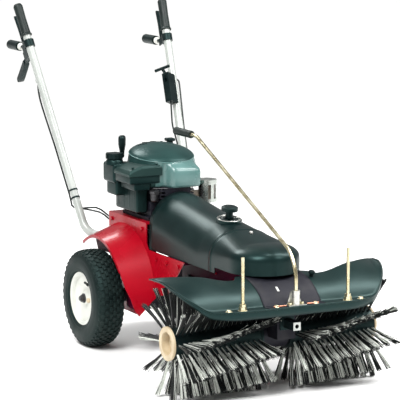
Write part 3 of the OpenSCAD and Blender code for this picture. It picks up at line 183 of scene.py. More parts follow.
# dark and light tone, least and most roughness, and what differs from a plain coat
finishValues = {
    "redEnamel": ((0.235, 0.0006, 0.006), (0.345, 0.0012, 0.010), (0.22, 0.32), dict(mottle=5, grain=240,
        height=0.02, coat=0.16, wear=chipWear, gloss=0.22, tint=(1, 0.5, 0.55))),
    # painted shade: a darker copy of the red enamel for red parts that lie in shade
    "paintedShadeRed": ((0.030, 0.0004, 0.010), (0.052, 0.0008, 0.014), (0.42, 0.56), dict(mottle=8, gloss=0.08)),
    "whiteEnamel": ((0.36, 0.385, 0.36), (0.43, 0.455, 0.43), (0.24, 0.36), dict(mottle=7, grain=200,
        height=0.02, coat=0.4,
        wear={"scale": 30, "from": 0.68, "to": 0.76, "most": 0.3, "colour": (0.4, 0.39, 0.32)})),
    "rimWhite": ((0.56, 0.57, 0.52), (0.68, 0.69, 0.64), (0.28, 0.4), dict(mottle=16, coat=0.3,
        wear={"scale": 26, "from": 0.62, "to": 0.78, "most": 0.35, "colour": (0.36, 0.34, 0.27)})),
    "tyreRubber": ((0.0035, 0.006, 0.006), (0.010, 0.015, 0.014), (0.46, 0.62), dict(mottle=22, grain=420,
        height=0.2, wear=dustWear, gloss=0.22, tint=duskTint)),
    "coverBlack": ((0.003, 0.009, 0.009), (0.006, 0.015, 0.0145), (0.28, 0.36), dict(mottle=10, grain=900,
        height=0.02, gloss=0.24, tint=duskTint)),
    "hoodBlack": ((0.004, 0.012, 0.012), (0.008, 0.018, 0.017), (0.28, 0.38), dict(mottle=9, grain=800,
        height=0.03, gloss=0.26, tint=duskTint)),
    "blackPlastic": ((0.002, 0.005, 0.006), (0.006, 0.010, 0.010), (0.34, 0.48), dict(mottle=25, grain=1100,
        height=0.1, gloss=0.22, tint=duskTint)),
    "gripRubber": ((0.004, 0.009, 0.008), (0.010, 0.018, 0.016), (0.42, 0.56), dict(mottle=30, grain=900,
        height=0.16, gloss=0.32)),
    "starterGreen": ((0.008, 0.028, 0.027), (0.014, 0.040, 0.037), (0.32, 0.42), dict(mottle=9, grain=1000,
        height=0.05, gloss=0.28, tint=duskTint)),
    "housingGreen": ((0.075, 0.165, 0.155), (0.10, 0.20, 0.19), (0.24, 0.34), dict(mottle=8, grain=500,
        height=0.03, coat=0.3)),
    "tankBlack": ((0.004, 0.012, 0.012), (0.007, 0.018, 0.017), (0.32, 0.44), dict(mottle=14, grain=900,
        height=0.07, gloss=0.24, tint=duskTint)),
    "lidBlack": ((0.010, 0.024, 0.022), (0.015, 0.033, 0.030), (0.34, 0.44), dict(mottle=14, grain=900,
        height=0.06, gloss=0.26, tint=duskTint)),
    "castDark": ((0.005, 0.005, 0.010), (0.013, 0.013, 0.020), (0.5, 0.66), dict(metal=0.2, mottle=30,
        grain=380, height=0.4, wear=dustWear, gloss=0.3)),
    "darkSteel": ((0.06, 0.06, 0.063), (0.12, 0.12, 0.125), (0.34, 0.5), dict(metal=0.9, mottle=45,
        grain=500, height=0.12)),
    "turnedSteel": ((0.36, 0.36, 0.36), (0.52, 0.52, 0.51), (0.24, 0.4), dict(metal=1.0, mottle=60,
        grain=300, height=0.1, stretch=(6, 1, 1))),
    "brightZinc": ((0.50, 0.50, 0.47), (0.70, 0.70, 0.66), (0.24, 0.38), dict(metal=1.0, mottle=90,
        grain=700)),
    "yellowZinc": ((0.60, 0.52, 0.30), (0.80, 0.75, 0.54), (0.22, 0.36), dict(metal=1.0, mottle=24,
        grain=700, height=0.06,
        wear={"scale": 7, "from": 0.5, "to": 0.8, "most": 0.25, "colour": (0.70, 0.55, 0.40)})),
    "copperPin": ((0.50, 0.20, 0.12), (0.66, 0.30, 0.20), (0.28, 0.4), dict(metal=1.0, mottle=50)),
    "guardSteel": ((0.42, 0.45, 0.42), (0.62, 0.65, 0.61), (0.2, 0.34), dict(metal=0.95, mottle=40,
        grain=500, height=0.06)),
    "heatSteel": ((0.16, 0.13, 0.10), (0.30, 0.27, 0.23), (0.4, 0.6), dict(metal=0.9, mottle=35, grain=400,
        height=0.2)),
    "bronze": ((0.45, 0.28, 0.10), (0.60, 0.40, 0.16), (0.3, 0.45), dict(metal=1.0, mottle=50)),
    "creamHub": ((0.46, 0.36, 0.22), (0.62, 0.52, 0.36), (0.4, 0.55), dict(mottle=30, grain=700,
        height=0.1)),
    "beltRubber": ((0.008, 0.008, 0.008), (0.02, 0.02, 0.019), (0.55, 0.7), dict(mottle=60, grain=700,
        height=0.2, gloss=0.3)),
    "sheathBlack": ((0.006, 0.011, 0.010), (0.013, 0.019, 0.017), (0.36, 0.5), dict(mottle=40, grain=900,
        height=0.1, gloss=0.35)),
    "bristleBlack": ((0.002, 0.003, 0.003), (0.008, 0.010, 0.010), (0.34, 0.5), dict(mottle=140, grain=900,
        height=0.1, gloss=0.35)),
    "bristleWhite": ((0.62, 0.66, 0.60), (0.90, 0.92, 0.86), (0.34, 0.5), dict(mottle=140, grain=900,
        height=0.1)),
    "platePale": ((0.55, 0.57, 0.55), (0.66, 0.67, 0.65), (0.32, 0.44), dict(mottle=40)),
}
looks = {name: coatedFinish(name, *tones, **more) for name, (*tones, more) in finishValues.items()}
print("finishes made,", len(looks))


# shaping helpers, all in millimetres on the way in
def drawLine(bm, points):
    line = [bm.verts.new(point) for point in points]
    return line, [bm.edges.new(pair) for pair in zip(line, line[1:])]


def newVerts(grown):
    return [part for part in grown["geom"] if isinstance(part, bmesh.types.BMVert)]


def lathe(bm, profile, centre, axis, steps, angle=360.0, start=None):
    axis = Vector(axis).normalized()
    out = Vector(start) if start else axis.orthogonal().normalized()
    line, edges = drawLine(bm, [centre + axis * along * mm + out * radius * mm for radius, along in profile])
    bmesh.ops.spin(bm, geom=line + edges, cent=centre, axis=axis, angle=math.radians(angle), steps=steps,
                   use_merge=angle == 360.0)


def chamfer(bm, edges, width, segments=1):
    return bmesh.ops.bevel(bm, geom=edges, offset=width * mm, offset_type="OFFSET", affect="EDGES",
                           segments=segments, profile=0.5, material=-1, clamp_overlap=True)


def chamferBox(bm, size, place, width, segments=1):
    cube = Matrix.Diagonal([side * mm for side in size] + [1])
    made = bmesh.ops.create_cube(bm, size=1, matrix=place @ cube)
    return chamfer(bm, list({edge for vert in made["verts"] for edge in vert.link_edges}), width, segments)


def roundedBox(bm, low, high, radius, segments, place):
    size = [b - a for a, b in zip(low, high)]
    centre = Matrix.Translation([(a + b) / 2 * mm for a, b in zip(low, high)])
    chamferBox(bm, size, place @ centre, radius, segments)


def bar(bm, start, end, radius, sides, radiusEnd=None):
    run = end - start
    turn = run.to_track_quat("Z", "Y").to_matrix().to_4x4()
    bmesh.ops.create_cone(bm, cap_ends=True, segments=sides, radius1=radius * mm,
                          radius2=(radius if radiusEnd is None else radiusEnd) * mm, depth=run.length,
                          matrix=Matrix.Translation((start + end) / 2) @ turn)


def placePiece(name, mesh, finishes, body, stands=()):
    piece = addObject(name, mesh)
    for finish in finishes:
        mesh.materials.append(looks[finish])
    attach(piece, body)
    if stands:
        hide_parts(*stands)
    return piece


def softenEdges(piece, width, angle, segments=2):
    bevel = piece.modifiers.new("softEdge", "BEVEL")
    bevel.width = width * mm
    bevel.segments = segments
    bevel.limit_method = "ANGLE"
    bevel.angle_limit = math.radians(angle)


def thicken(piece, wall, offset=-1.0):
    wallMaker = piece.modifiers.new("wall", "SOLIDIFY")
    wallMaker.thickness = wall * mm
    wallMaker.offset = offset


def finishPiece(name, bm, finishes, body, stands=(), sharp=35, edge=0.0, outward=True):
    bmesh.ops.remove_doubles(bm, verts=bm.verts, dist=2e-6)
    if outward:
        bmesh.ops.recalc_face_normals(bm, faces=bm.faces)
    for face in bm.faces:
        face.smooth = True
    for seam in bm.edges:
        if len(seam.link_faces) == 2 and seam.calc_face_angle(0) > math.radians(sharp):
            seam.smooth = False
    mesh = bpy.data.meshes.new(name)
    bm.to_mesh(mesh)
    bm.free()
    piece = placePiece(name, mesh, finishes, body, stands)
    if edge:
        softenEdges(piece, edge, sharp)
    return piece


def dressNode(node, finish, edge):
    # a copy of a CAD node with its triangles joined, its edges softened and its own finish
    source = nodes[node]
    bm = bmesh.new()
    bm.from_mesh(source.data)
    bmesh.ops.remove_doubles(bm, verts=bm.verts, dist=2e-5)
    bmesh.ops.dissolve_limit(bm, angle_limit=math.radians(0.6), verts=bm.verts, edges=bm.edges)
    words = node.split("_")
    name = words[0] + "".join(word.capitalize() for word in words[1:]) + "Skin"
    return finishPiece(name, bm, [finish], source["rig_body"], [node], sharp=32, edge=edge, outward=False)


def curveMesh(curve):
    # a plain mesh of a curve or text
    holder = addObject(curve.name, curve)
    mesh = bpy.data.meshes.new_from_object(holder.evaluated_get(bpy.context.evaluated_depsgraph_get()))
    bpy.data.objects.remove(holder)
    return mesh


def newTube(name, radius, resolution, caps=True):
    tube = bpy.data.curves.new(name, "CURVE")
    tube.dimensions = "3D"
    tube.bevel_depth = radius * mm
    tube.bevel_resolution = resolution
    tube.use_fill_caps = caps
    return tube


def addLine(tube, path, closed=False):
    line = tube.splines.new("POLY")
    line.points.add(len(path) - 1)
    line.use_cyclic_u = closed
    for point, place in zip(line.points, path):
        point.co = (*place, 1)
    return line


def finishTube(name, tube, finishes, body):
    mesh = curveMesh(tube)
    mesh.materials.clear()
    for face in mesh.polygons:
        face.use_smooth = True
    placePiece(name, mesh, finishes, body)


def spread(start, end, count):
    return [start + (end - start) * k / count for k in range(count + 1)]


def loft(bm, lines):
    # a skin drawn through open lines with as many points each
    line, edges = drawLine(bm, lines[0])
    for points in lines[1:]:
        old = {vert: k for k, vert in enumerate(line)}
        follow = {}
        for vert in newVerts(bmesh.ops.extrude_edge_only(bm, edges=edges)):
            for near in vert.link_edges:
                other = near.other_vert(vert)
                if other in old:
                    follow[old[other]] = vert
        line = [follow[k] for k in range(len(line))]
        for vert, point in zip(line, points):
            vert.co = point
        edges = [bm.edges.get(pair) for pair in zip(line, line[1:])]


def faceUp(bm):
    bmesh.ops.recalc_face_normals(bm, faces=bm.faces)
    if sum(face.normal.z * face.calc_area() for face in bm.faces) < 0:
        bmesh.ops.reverse_faces(bm, faces=bm.faces)


# tyres: carcass, tread blocks and sidewall rings
tyreShape = {
    "half": [(80, 40.3), (91.4, 40.6), (92.5, 46.6), (96, 50.2), (101, 51.6), (103, 51.2), (105, 52.3),
             (118, 52.5), (131, 51.8), (133, 51.0), (135, 51.2), (143, 48.4), (150, 44.6), (155, 39.5),
             (158.4, 32), (160, 20), (160.6, 8)],
    "crown": 160.8, "steps": 84, "blocks": 42, "depth": 9.0, "chamfer": 1.3,
    # rows of blocks: place across, width, length, height, tilt, and share of a step that they are turned by
    "rows": [(6.8, 10.5, 15, 165.0, 0, 0.0), (20.5, 11.5, 14, 164.2, 6, 0.5), (34, 12, 13, 160.8, 22, 0.0),
             (44.5, 8, 12, 153.4, 48, 0.5)],
}


def sided(side, name):
    return ("right" if side < 0 else "left") + name


def makeTyre(side, node):
    shape = tyreShape
    centre = Vector((middle(node).x, wheelAxis.y, wheelAxis.z))
    half = shape["half"]
    profile = [(r, -x) for r, x in half] + [(shape["crown"], 0)] + [(r, x) for r, x in reversed(half)]
    bm = bmesh.new()
    lathe(bm, profile, centre, (1, 0, 0), shape["steps"])
    step = 360 / shape["blocks"]
    for across, width, length, top, tilt, phase in shape["rows"]:
        for hand in (-1, 1):
            lift = Matrix.Translation((hand * across * mm, 0, top * mm)) @ turned("Y", hand * tilt)
            lift = lift @ Matrix.Translation((0, 0, -shape["depth"] / 2 * mm))
            roll = turned("X", step * (phase + (0.5 if hand > 0 else 0)))
            place = Matrix.Translation(centre) @ roll @ lift
            cut = chamferBox(bm, (width, length, shape["depth"]), place, shape["chamfer"])
            faces = list({face for vert in cut["verts"] for face in vert.link_faces})
            geom = list({vert for face in faces for vert in face.verts})
            geom += list({edge for face in faces for edge in face.edges}) + faces
            bmesh.ops.spin(bm, geom=geom, cent=centre, axis=(1, 0, 0), angle=math.radians(360 - step),
                           steps=shape["blocks"] - 1, use_duplicate=True)
    finishPiece(sided(side, "TyreTread"), bm, ["tyreRubber"], "wheels", [node], sharp=40)


# rims: profiles as radius and distance outward, then the nut, grease cap and valve on the outer face
rimShape = {
    "track": 243, "sheet": 3.0,
    "face": [(66, -40.4), (79, -40.4), (90.5, -40.8), (90.6, -45), (88, -45.4), (84, -43), (80.5, -39),
             (76, -36), (76, 0), (76, 36), (80, 38.6), (83.5, 42.6), (86.5, 45.2), (89.4, 45.4), (90.7, 43.6),
             (90.4, 41.4), (87, 40.6), (78.85, 40.4)],
    "dish": [(78, 35), (74.5, 30.5), (68, 27.4), (58, 25.6), (40, 25), (30, 25.6), (27, 28), (24.5, 30.5),
             (23, 33), (18.5, 34), (16.3, 34), (16.3, 20)],
    "hubBack": [(16.3, 14), (26, 14)], "sleeve": [(10.1, 20), (24, 20), (24, -100), (10.1, -100)],
    "washer": (33, 35.4, 15.8, 28), "nut": (35, 46, 12.5, 6),
    "stud": [(8, 45.5), (8, 50), (6.6, 51.4), (0, 51.8)],
    "grease": [(8.6, 24), (8.6, 30), (7.4, 33), (4.5, 34.6), (0, 35)], "greaseAt": (0, -24, -4),
    "valve": [(-6, 8, 5.2, 4.6), (8, 27, 3.9, 3.9), (27, 35, 4.4, 4.0)], "valveAt": (27, -16, 48),
    "valveLean": (0.55, -0.62, 0.36),
}


def makeRim(side, node):
    shape = rimShape
    out = Vector((side, 0, 0))
    centre = Vector((side * shape["track"] * mm, wheelAxis.y, wheelAxis.z))
    dish = shape["dish"]
    back = [(r, x - shape["sheet"]) for r, x in reversed(dish[:5])]
    bm = bmesh.new()
    for profile in (shape["face"], dish, dish[-1:] + shape["hubBack"] + back):
        lathe(bm, profile, centre, out, 64)
    lathe(bm, shape["sleeve"], centre, out, 32)
    finishPiece(sided(side, "RimShell"), bm, ["rimWhite"], "wheels", [node], sharp=40)
    bm = bmesh.new()
    for low, high, radius, sides in (shape["washer"], shape["nut"]):
        bar(bm, centre + out * low * mm, centre + out * high * mm, radius, sides)
    lathe(bm, shape["stud"], centre, out, 20)
    finishPiece(sided(side, "HubNut"), bm, ["darkSteel"], "wheels", sharp=30, edge=0.6)
    bm = bmesh.new()
    lathe(bm, shape["grease"], centre + Vector(shape["greaseAt"]) * mm, out, 24)
    finishPiece(sided(side, "HubCap"), bm, ["creamHub"], "wheels")
    bm = bmesh.new()
    x, y, z = shape["valveAt"]
    foot = centre + Vector((side * x, y, z)) * mm
    x, y, z = shape["valveLean"]
    lean = Vector((side * x, y, z)).normalized() * mm
    for low, high, radius, radiusEnd in shape["valve"]:
        bar(bm, foot + lean * low, foot + lean * high, radius, 16, radiusEnd)
    finishPiece(sided(side, "Valve"), bm, ["gripRubber"], "wheels", edge=0.5)


makeTyre(-1, "right_tyre")
makeTyre(1, "left_tyre")
makeRim(-1, "right_rim")
makeRim(1, "left_rim")
print("wheels made")


# dark sheet on the inner side of each wheel arch, under the fender: painted shade filling the gap between
# fender and tyre
archShape = {"in": 186, "wall": 2.5, "low": 150, "high": 219, "trim": 5, "steps": 40}


def makeArchShadeSheet(side, node):
    shape = archShape
    sweep = [math.atan2(vert.co.z - wheelAxis.z, wheelAxis.y - vert.co.y) % (2 * math.pi)
             for vert in nodes[node].data.vertices if (vert.co - wheelAxis).length > 0.2]
    sweep = [angle - 2 * math.pi if angle > 1.5 * math.pi else angle for angle in sweep]
    start = min(sweep) + math.radians(shape["trim"])
    run = max(sweep) - math.radians(shape["trim"]) - start
    centre = Vector((side * shape["in"] * mm, wheelAxis.y, wheelAxis.z))
    out = Vector((0, -math.cos(start), math.sin(start)))
    bm = bmesh.new()
    profile = [(shape["low"], 0), (shape["high"], 0)]
    lathe(bm, profile, centre, (-1, 0, 0), shape["steps"], math.degrees(run), out)
    wall = finishPiece(sided(side, "ArchShadeSheet"), bm, ["paintedShadeRed"], "chassis", outward=False)
    thicken(wall, shape["wall"], 0.0)


makeArchShadeSheet(-1, "right_fender")
makeArchShadeSheet(1, "left_fender")
print("wheel arches made")


# brush: tufts in helical rows on a smooth core, every other one with a share of pale strands
brushShape = {
    "rows": 10, "tufts": 18, "strands": 44, "pale": (0.42, 0.05), "first": 22, "turn": 30, "coreRadius": 50,
    "coreWall": 6, "tipRadius": 174.5, "gap": 108, "length": 702, "thick": 0.85, "blackThick": 1.35,
    "root": 3, "endGap": 10, "flare": (-14, -5, 8, 24), "rib": (46, 52, 6.4, 5.6),
    # spread of a tuft along and round the core: at the root, and what the tip adds
    "fan": (3.0, 6.4), "sweep": (3.0, 5.0), "clump": 0.7, "lean": (0.3, -0.4), "uneven": 2.2, "bow": 1.2,
    "taper": 0.25,
}


def rowAngle(side, row, x):
    shape = brushShape
    return shape["first"] + row * 360 / shape["rows"] - side * shape["turn"] * 2 * x / shape["length"]


def makeBristles(side, node):
    shape = brushShape
    count = shape["tufts"]
    curve = newTube("bristleLines", shape["thick"], 0)
    for finish in ("bristleWhite", "bristleBlack"):
        curve.materials.append(looks[finish])
    inner, outer = shape["gap"] / 2, shape["length"] / 2
    places = spread(inner + shape["endGap"], outer - shape["endGap"], count - 1)
    flare = dict(zip((0, 1, count - 2, count - 1), shape["flare"]))
    root = shape["coreRadius"] - shape["root"]
    (fanRoot, fanTip), (sweepRoot, sweepTip) = shape["fan"], shape["sweep"]
    for row in range(shape["rows"]):
        for tuft, x in enumerate(places):
            around = rowAngle(side, row, x)
            share = shape["pale"][(tuft + row) % 2]
            for strand in range(shape["strands"]):
                pale = strand < share * shape["strands"]
                spot = random.uniform(0, 2 * math.pi)
                off = math.sqrt(random.random())
                sx = off * math.cos(spot)
                # pale strands sit toward the upper side of each row and black ones below, so the rows'
                # undersides look dark: painted shade
                sa = off * math.sin(spot) * shape["clump"] + shape["lean"][pale]  # pale ones lie to one side
                reach = shape["tipRadius"] - abs(random.gauss(0, shape["uneven"]))
                bow = random.gauss(0, shape["bow"])
                path = []
                shares = (0, 0.55, 1.0)
                for along in shares:
                    radius = root + (reach - root) * along
                    sweep = (sweepRoot + sweepTip * along) / radius * 57.3  # in degrees
                    angle = math.radians(around + sa * sweep + bow * along * along)
                    fan = fanRoot + fanTip * along ** 1.2
                    px = x + flare.get(tuft, 0) * along ** 1.4 + sx * fan + bow * 0.8 * along
                    path.append((side * px * mm, brushAxis.y + radius * math.sin(angle) * mm,
                                 brushAxis.z - radius * math.cos(angle) * mm))
                line = addLine(curve, path)
                for point, along in zip(line.points, shares):
                    point.radius = (1.0 if pale else shape["blackThick"]) * (1 - shape["taper"] * along)
                line.material_index = 0 if pale else 1
    placePiece(sided(side, "Bristles"), curveMesh(curve), [], "brush", [node])
    # core with a rib under each tuft
    bm = bmesh.new()
    top = shape["coreRadius"]
    low = top - shape["coreWall"]
    lathe(bm, [(low, inner), (top, inner), (top, outer), (low, outer), (low, inner)],
          Vector((0, brushAxis.y, brushAxis.z)), (side, 0, 0), 48)
    ribLow, ribHigh, ribRadius, ribEnd = shape["rib"]
    for row in range(shape["rows"]):
        for x in places:
            angle = math.radians(rowAngle(side, row, x))
            out = Vector((0, math.sin(angle), -math.cos(angle))) * mm
            foot = Vector((side * x * mm, brushAxis.y, brushAxis.z))
            bar(bm, foot + out * ribLow, foot + out * ribHigh, ribRadius, 10, ribEnd)
    finishPiece(sided(side, "BrushCore"), bm, ["blackPlastic"], "brush")


makeBristles(-1, "right_brush")
makeBristles(1, "left_brush")
print("brush made")


# hood: barrel over the bristles, front shelf, skirt, rounded corners and raised end lips
hoodShape = {
    "width": 780, "corner": 215, "lip": 16, "lipWidth": 45, "outer": 186, "front": 183, "shelf": 292,
    "axis": 175, "skirt": 26, "skirtLoss": 20, "sheet": 3, "columns": 130, "barrelRows": 22,
    "valley": (52, 20, 3.5), "blend": (112, 36), "backEdge": (-3, 10, 26), "endFrom": 150, "flare": 17,
    "flareRun": 120, "soft": 5, "saddle": 104, "saddleLift": (0, -1.2, 1.8), "saddleWall": 1.6, "rim": 2.6,
    "rimShift": (0, -0.4, -0.8),
}


def ease(value):
    value = min(1, max(0, value))
    return value * value * (3 - 2 * value)


def hoodSection(x):
    shape = hoodShape
    s = abs(x)
    half = shape["width"] / 2
    past = s - half
    over = max(0, past + shape["corner"])
    edge = shape["front"] - shape["corner"] + math.sqrt(max(0, shape["corner"] ** 2 - over ** 2))
    full = shape["outer"] + shape["lip"] * max(0, past / shape["lipWidth"] + 1) ** 2
    valleyAt, valleyWidth, valleyDepth = shape["valley"]
    radius = full - valleyDepth * math.exp(-((past + valleyAt) / valleyWidth) ** 2)
    # the back edge starts at one angle in the middle and at another to the sides, and falls toward the ends
    middleStart, sideStart, endDrop = shape["backEdge"]
    blendFrom, blendRun = shape["blend"]
    sideStart -= endDrop * max(0, (s - shape["endFrom"]) / (half - shape["endFrom"])) ** 2
    start = middleStart + (sideStart - middleStart) * ease((s - blendFrom) / blendRun)
    # the barrel ends at the shelf, or at the rounded corner, with a soft change between the two
    flat = math.degrees(math.acos((shape["shelf"] - shape["axis"]) / full))
    slant = math.degrees(math.asin((edge - 6) / full))
    turn = (flat + slant - math.sqrt((flat - slant) ** 2 + 16)) / 2 + 0.2
    flare = shape["flare"] * ease((s - shape["endFrom"]) / shape["flareRun"])
    points = []
    for k in range(shape["barrelRows"] + 1):
        share = k / shape["barrelRows"]
        angle = math.radians(start + (turn - start) * share)
        r = full + (radius - full) * (1 - share ** 6)
        lift = shape["outer"] + flare * (1 - share) ** 3 - r
        r += 0.5 * (lift + math.sqrt(lift * lift + 4)) - 0.1
        points.append((-r * math.sin(angle), shape["axis"] + r * math.cos(angle)))
    rim = shape["axis"] + full * math.cos(math.radians(turn))
    back = -points[-1][0]
    for share in (0.25, 0.55, 0.8):
        points.append((-(back + (edge - back) * share), rim - 0.6 * math.sin(share * math.pi)))
    skirt = shape["skirt"] - shape["skirtLoss"] * (over / shape["corner"]) ** 2
    points += [(-edge, rim), (-edge - 0.2, rim - skirt * 0.5), (-edge, rim - skirt)]
    return [Vector((x * mm, brushAxis.y + y * mm, z * mm)) for y, z in points]


def makeHood():
    shape = hoodShape
    half = shape["width"] / 2
    stations = [half * (0.35 * math.sin(t * math.pi / 2) + 0.65 * t) for t in spread(-1, 1, shape["columns"])]
    sections = [hoodSection(x) for x in stations]
    bm = bmesh.new()
    loft(bm, sections)
    faceUp(bm)
    hood = finishPiece("brushHoodShell", bm, ["hoodBlack"], "head", ["brush_hood"], sharp=50, outward=False)
    softenEdges(hood, shape["soft"], 50, 4)
    thicken(hood, shape["sheet"])
    # dark sheet laid over the middle of the hood, following its sections
    bm = bmesh.new()
    lift = Vector(shape["saddleLift"]) * mm
    loft(bm, [[point + lift for point in section[2:-3]]
              for x, section in zip(stations, sections) if abs(x) < shape["saddle"]])
    faceUp(bm)
    saddle = finishPiece("hoodSaddle", bm, ["castDark"], "head", outward=False)
    thicken(saddle, shape["saddleWall"])
    # rolled rim along the front edge and round the ends
    rim = newTube("hoodRimLine", shape["rim"], 3)
    addLine(rim, [section[-3] + Vector(shape["rimShift"]) * mm for section in sections])
    finishTube("brushHoodRim", rim, ["hoodBlack"], "head")


makeHood()
print("hood made")


# belt cover in two mouldings with a raised lap at the joint; stations are place, spring, height and roundness
coverShape = {
    "half": 116, "wall": 3, "lap": 1.2, "rearLow": 348, "frontLow": 366, "stepAt": -650, "jointAt": -620,
    "stations": [(-174, 418, 116, 2.0), (-526, 374, 116, 2.0), (-754, 404, 48, 2.6)], "points": 36,
    "noseSteps": 28,
}


def coverLine(ahead, low, grow=0.0):
    stations = coverShape["stations"]
    for (y0, s0, h0, n0), (y1, s1, h1, n1) in zip(stations, stations[1:]):
        if ahead >= y1:
            break
    share = (ahead - y0) / (y1 - y0)
    spring, height, power = s0 + (s1 - s0) * share, h0 + (h1 - h0) * share, n0 + (n1 - n0) * share
    wide = coverShape["half"] + grow
    foot = [(wide, low), (wide, low + 1.5), (wide, (low + spring) / 2)]
    arch = []
    for angle in spread(0, math.pi, coverShape["points"]):
        c, s = math.cos(angle), math.sin(angle)
        across, up = abs(c) ** (2 / power), abs(s) ** (2 / power)
        arch.append((wide * math.copysign(across, c), spring + (height + grow) * up))
    points = foot + arch + [(-x, z) for x, z in reversed(foot)]
    return [Vector((x * mm, wheelAxis.y + ahead * mm, z * mm)) for x, z in points]


def makeCovers():
    shape = coverShape
    rearEnd, knee, nose = [station[0] for station in shape["stations"]]
    low, joint, step = shape["rearLow"], shape["jointAt"], shape["stepAt"]
    bm = bmesh.new()
    loft(bm, [coverLine(y, low) for y in spread(rearEnd, knee, 14) + spread(knee - 9, joint, 5)])
    rear = finishPiece("beltCoverRearShell", bm, ["coverBlack"], "chassis", ["belt_cover_rear"], sharp=50)
    thicken(rear, shape["wall"])
    bm = bmesh.new()
    lines = [coverLine(joint + 9, low, shape["lap"]), coverLine(joint - 1, low, shape["lap"]),
             coverLine(joint - 3, low)]
    lines += [coverLine(y, low) for y in spread(joint - 10, step, 3)]
    lines += [coverLine(y, shape["frontLow"]) for y in spread(step - 0.5, nose, 8)]
    loft(bm, lines)
    # the nose turns about the swivel axis
    half = coverLine(nose, shape["frontLow"])
    half = half[:len(half) // 2 + 1]
    line, edges = drawLine(bm, half)
    bmesh.ops.spin(bm, geom=line + edges, cent=Vector((0, wheelAxis.y + nose * mm, 0)), axis=(0, 0, 1),
                   angle=-math.pi, steps=shape["noseSteps"])
    front = finishPiece("beltCoverFrontShell", bm, ["coverBlack"], "chassis", ["belt_cover_front"], sharp=50)
    thicken(front, shape["wall"])


makeCovers()
print("belt covers made")


# engine: smooth blower housing under a shallow tilted starter cover
# levels are rise, share of the rim's circle, and growth of the wall
engineShape = {
    "skirt": 118, "cowl": (-36, 88, 138), "clip": 96, "rimHeight": 643, "rimTilt": (0.0, 0.14), "points": 120,
    "darkSide": -0.58, "seam": 1.7,
    "levels": [(3, 0, -5), (6, 0, -1.6), (11, 0, 0), (30, 0, 0), (52, 0, 0), (60, 0.05, 0), (67, 0.14, 0),
               (74, 0.28, 0), (81, 0.46, 0), (88, 0.66, 0), (95, 0.85, 0)],
    "dome": [(110, 644), (108.5, 648), (103, 653), (94, 658.5), (82, 663.5), (68, 668), (52, 672),
             (36, 674.7), (20, 676.3), (6, 677)],
    "slots": 5, "slotFirst": 38, "slotStep": 26, "slotAt": (66, 0, 26.2), "slotTilt": 14,
    "slot": ((-16, -4, -2.2), (16, 4, 0.7), 0.6, 2),
    "ropeGuide": [((56, 58, 630), (74, 78, 685), 4), ((50, 54, 675), (80, 82, 686), 3.5)],
}


def atEngine(x, y, z):
    return Vector((crankAxis.x + x * mm, crankAxis.y + y * mm, z * mm))


def engineBox(bm, low, high, radius, segments=3):
    roundedBox(bm, low, high, radius, segments, Matrix.Translation((crankAxis.x, crankAxis.y, 0)))


def housingReach():
    # distance of the housing wall from the crank axis, all round
    shape = engineShape
    left, right, front = shape["cowl"]
    count = shape["points"]
    reach = []
    for k in range(count):
        dx, dy = math.sin(2 * math.pi * k / count), -math.cos(2 * math.pi * k / count)
        far = shape["skirt"]
        if dy < -0.01:
            side = right / dx if dx > 0.01 else left / dx if dx < -0.01 else 1000
            far = max(far, min(side, -front / dy))
            if dx / -dy < left / front:
                far = min(far, -shape["clip"] / dy)
        reach.append(far)
    weights = [math.exp(-(step / 2.2) ** 2) for step in range(-6, 7)]
    return [sum(reach[(k + step - 6) % count] * weight for step, weight in enumerate(weights)) / sum(weights)
            for k in range(count)]


def aroundCrank(place):
    return math.atan2(place.x - crankAxis.x, crankAxis.y - place.y)


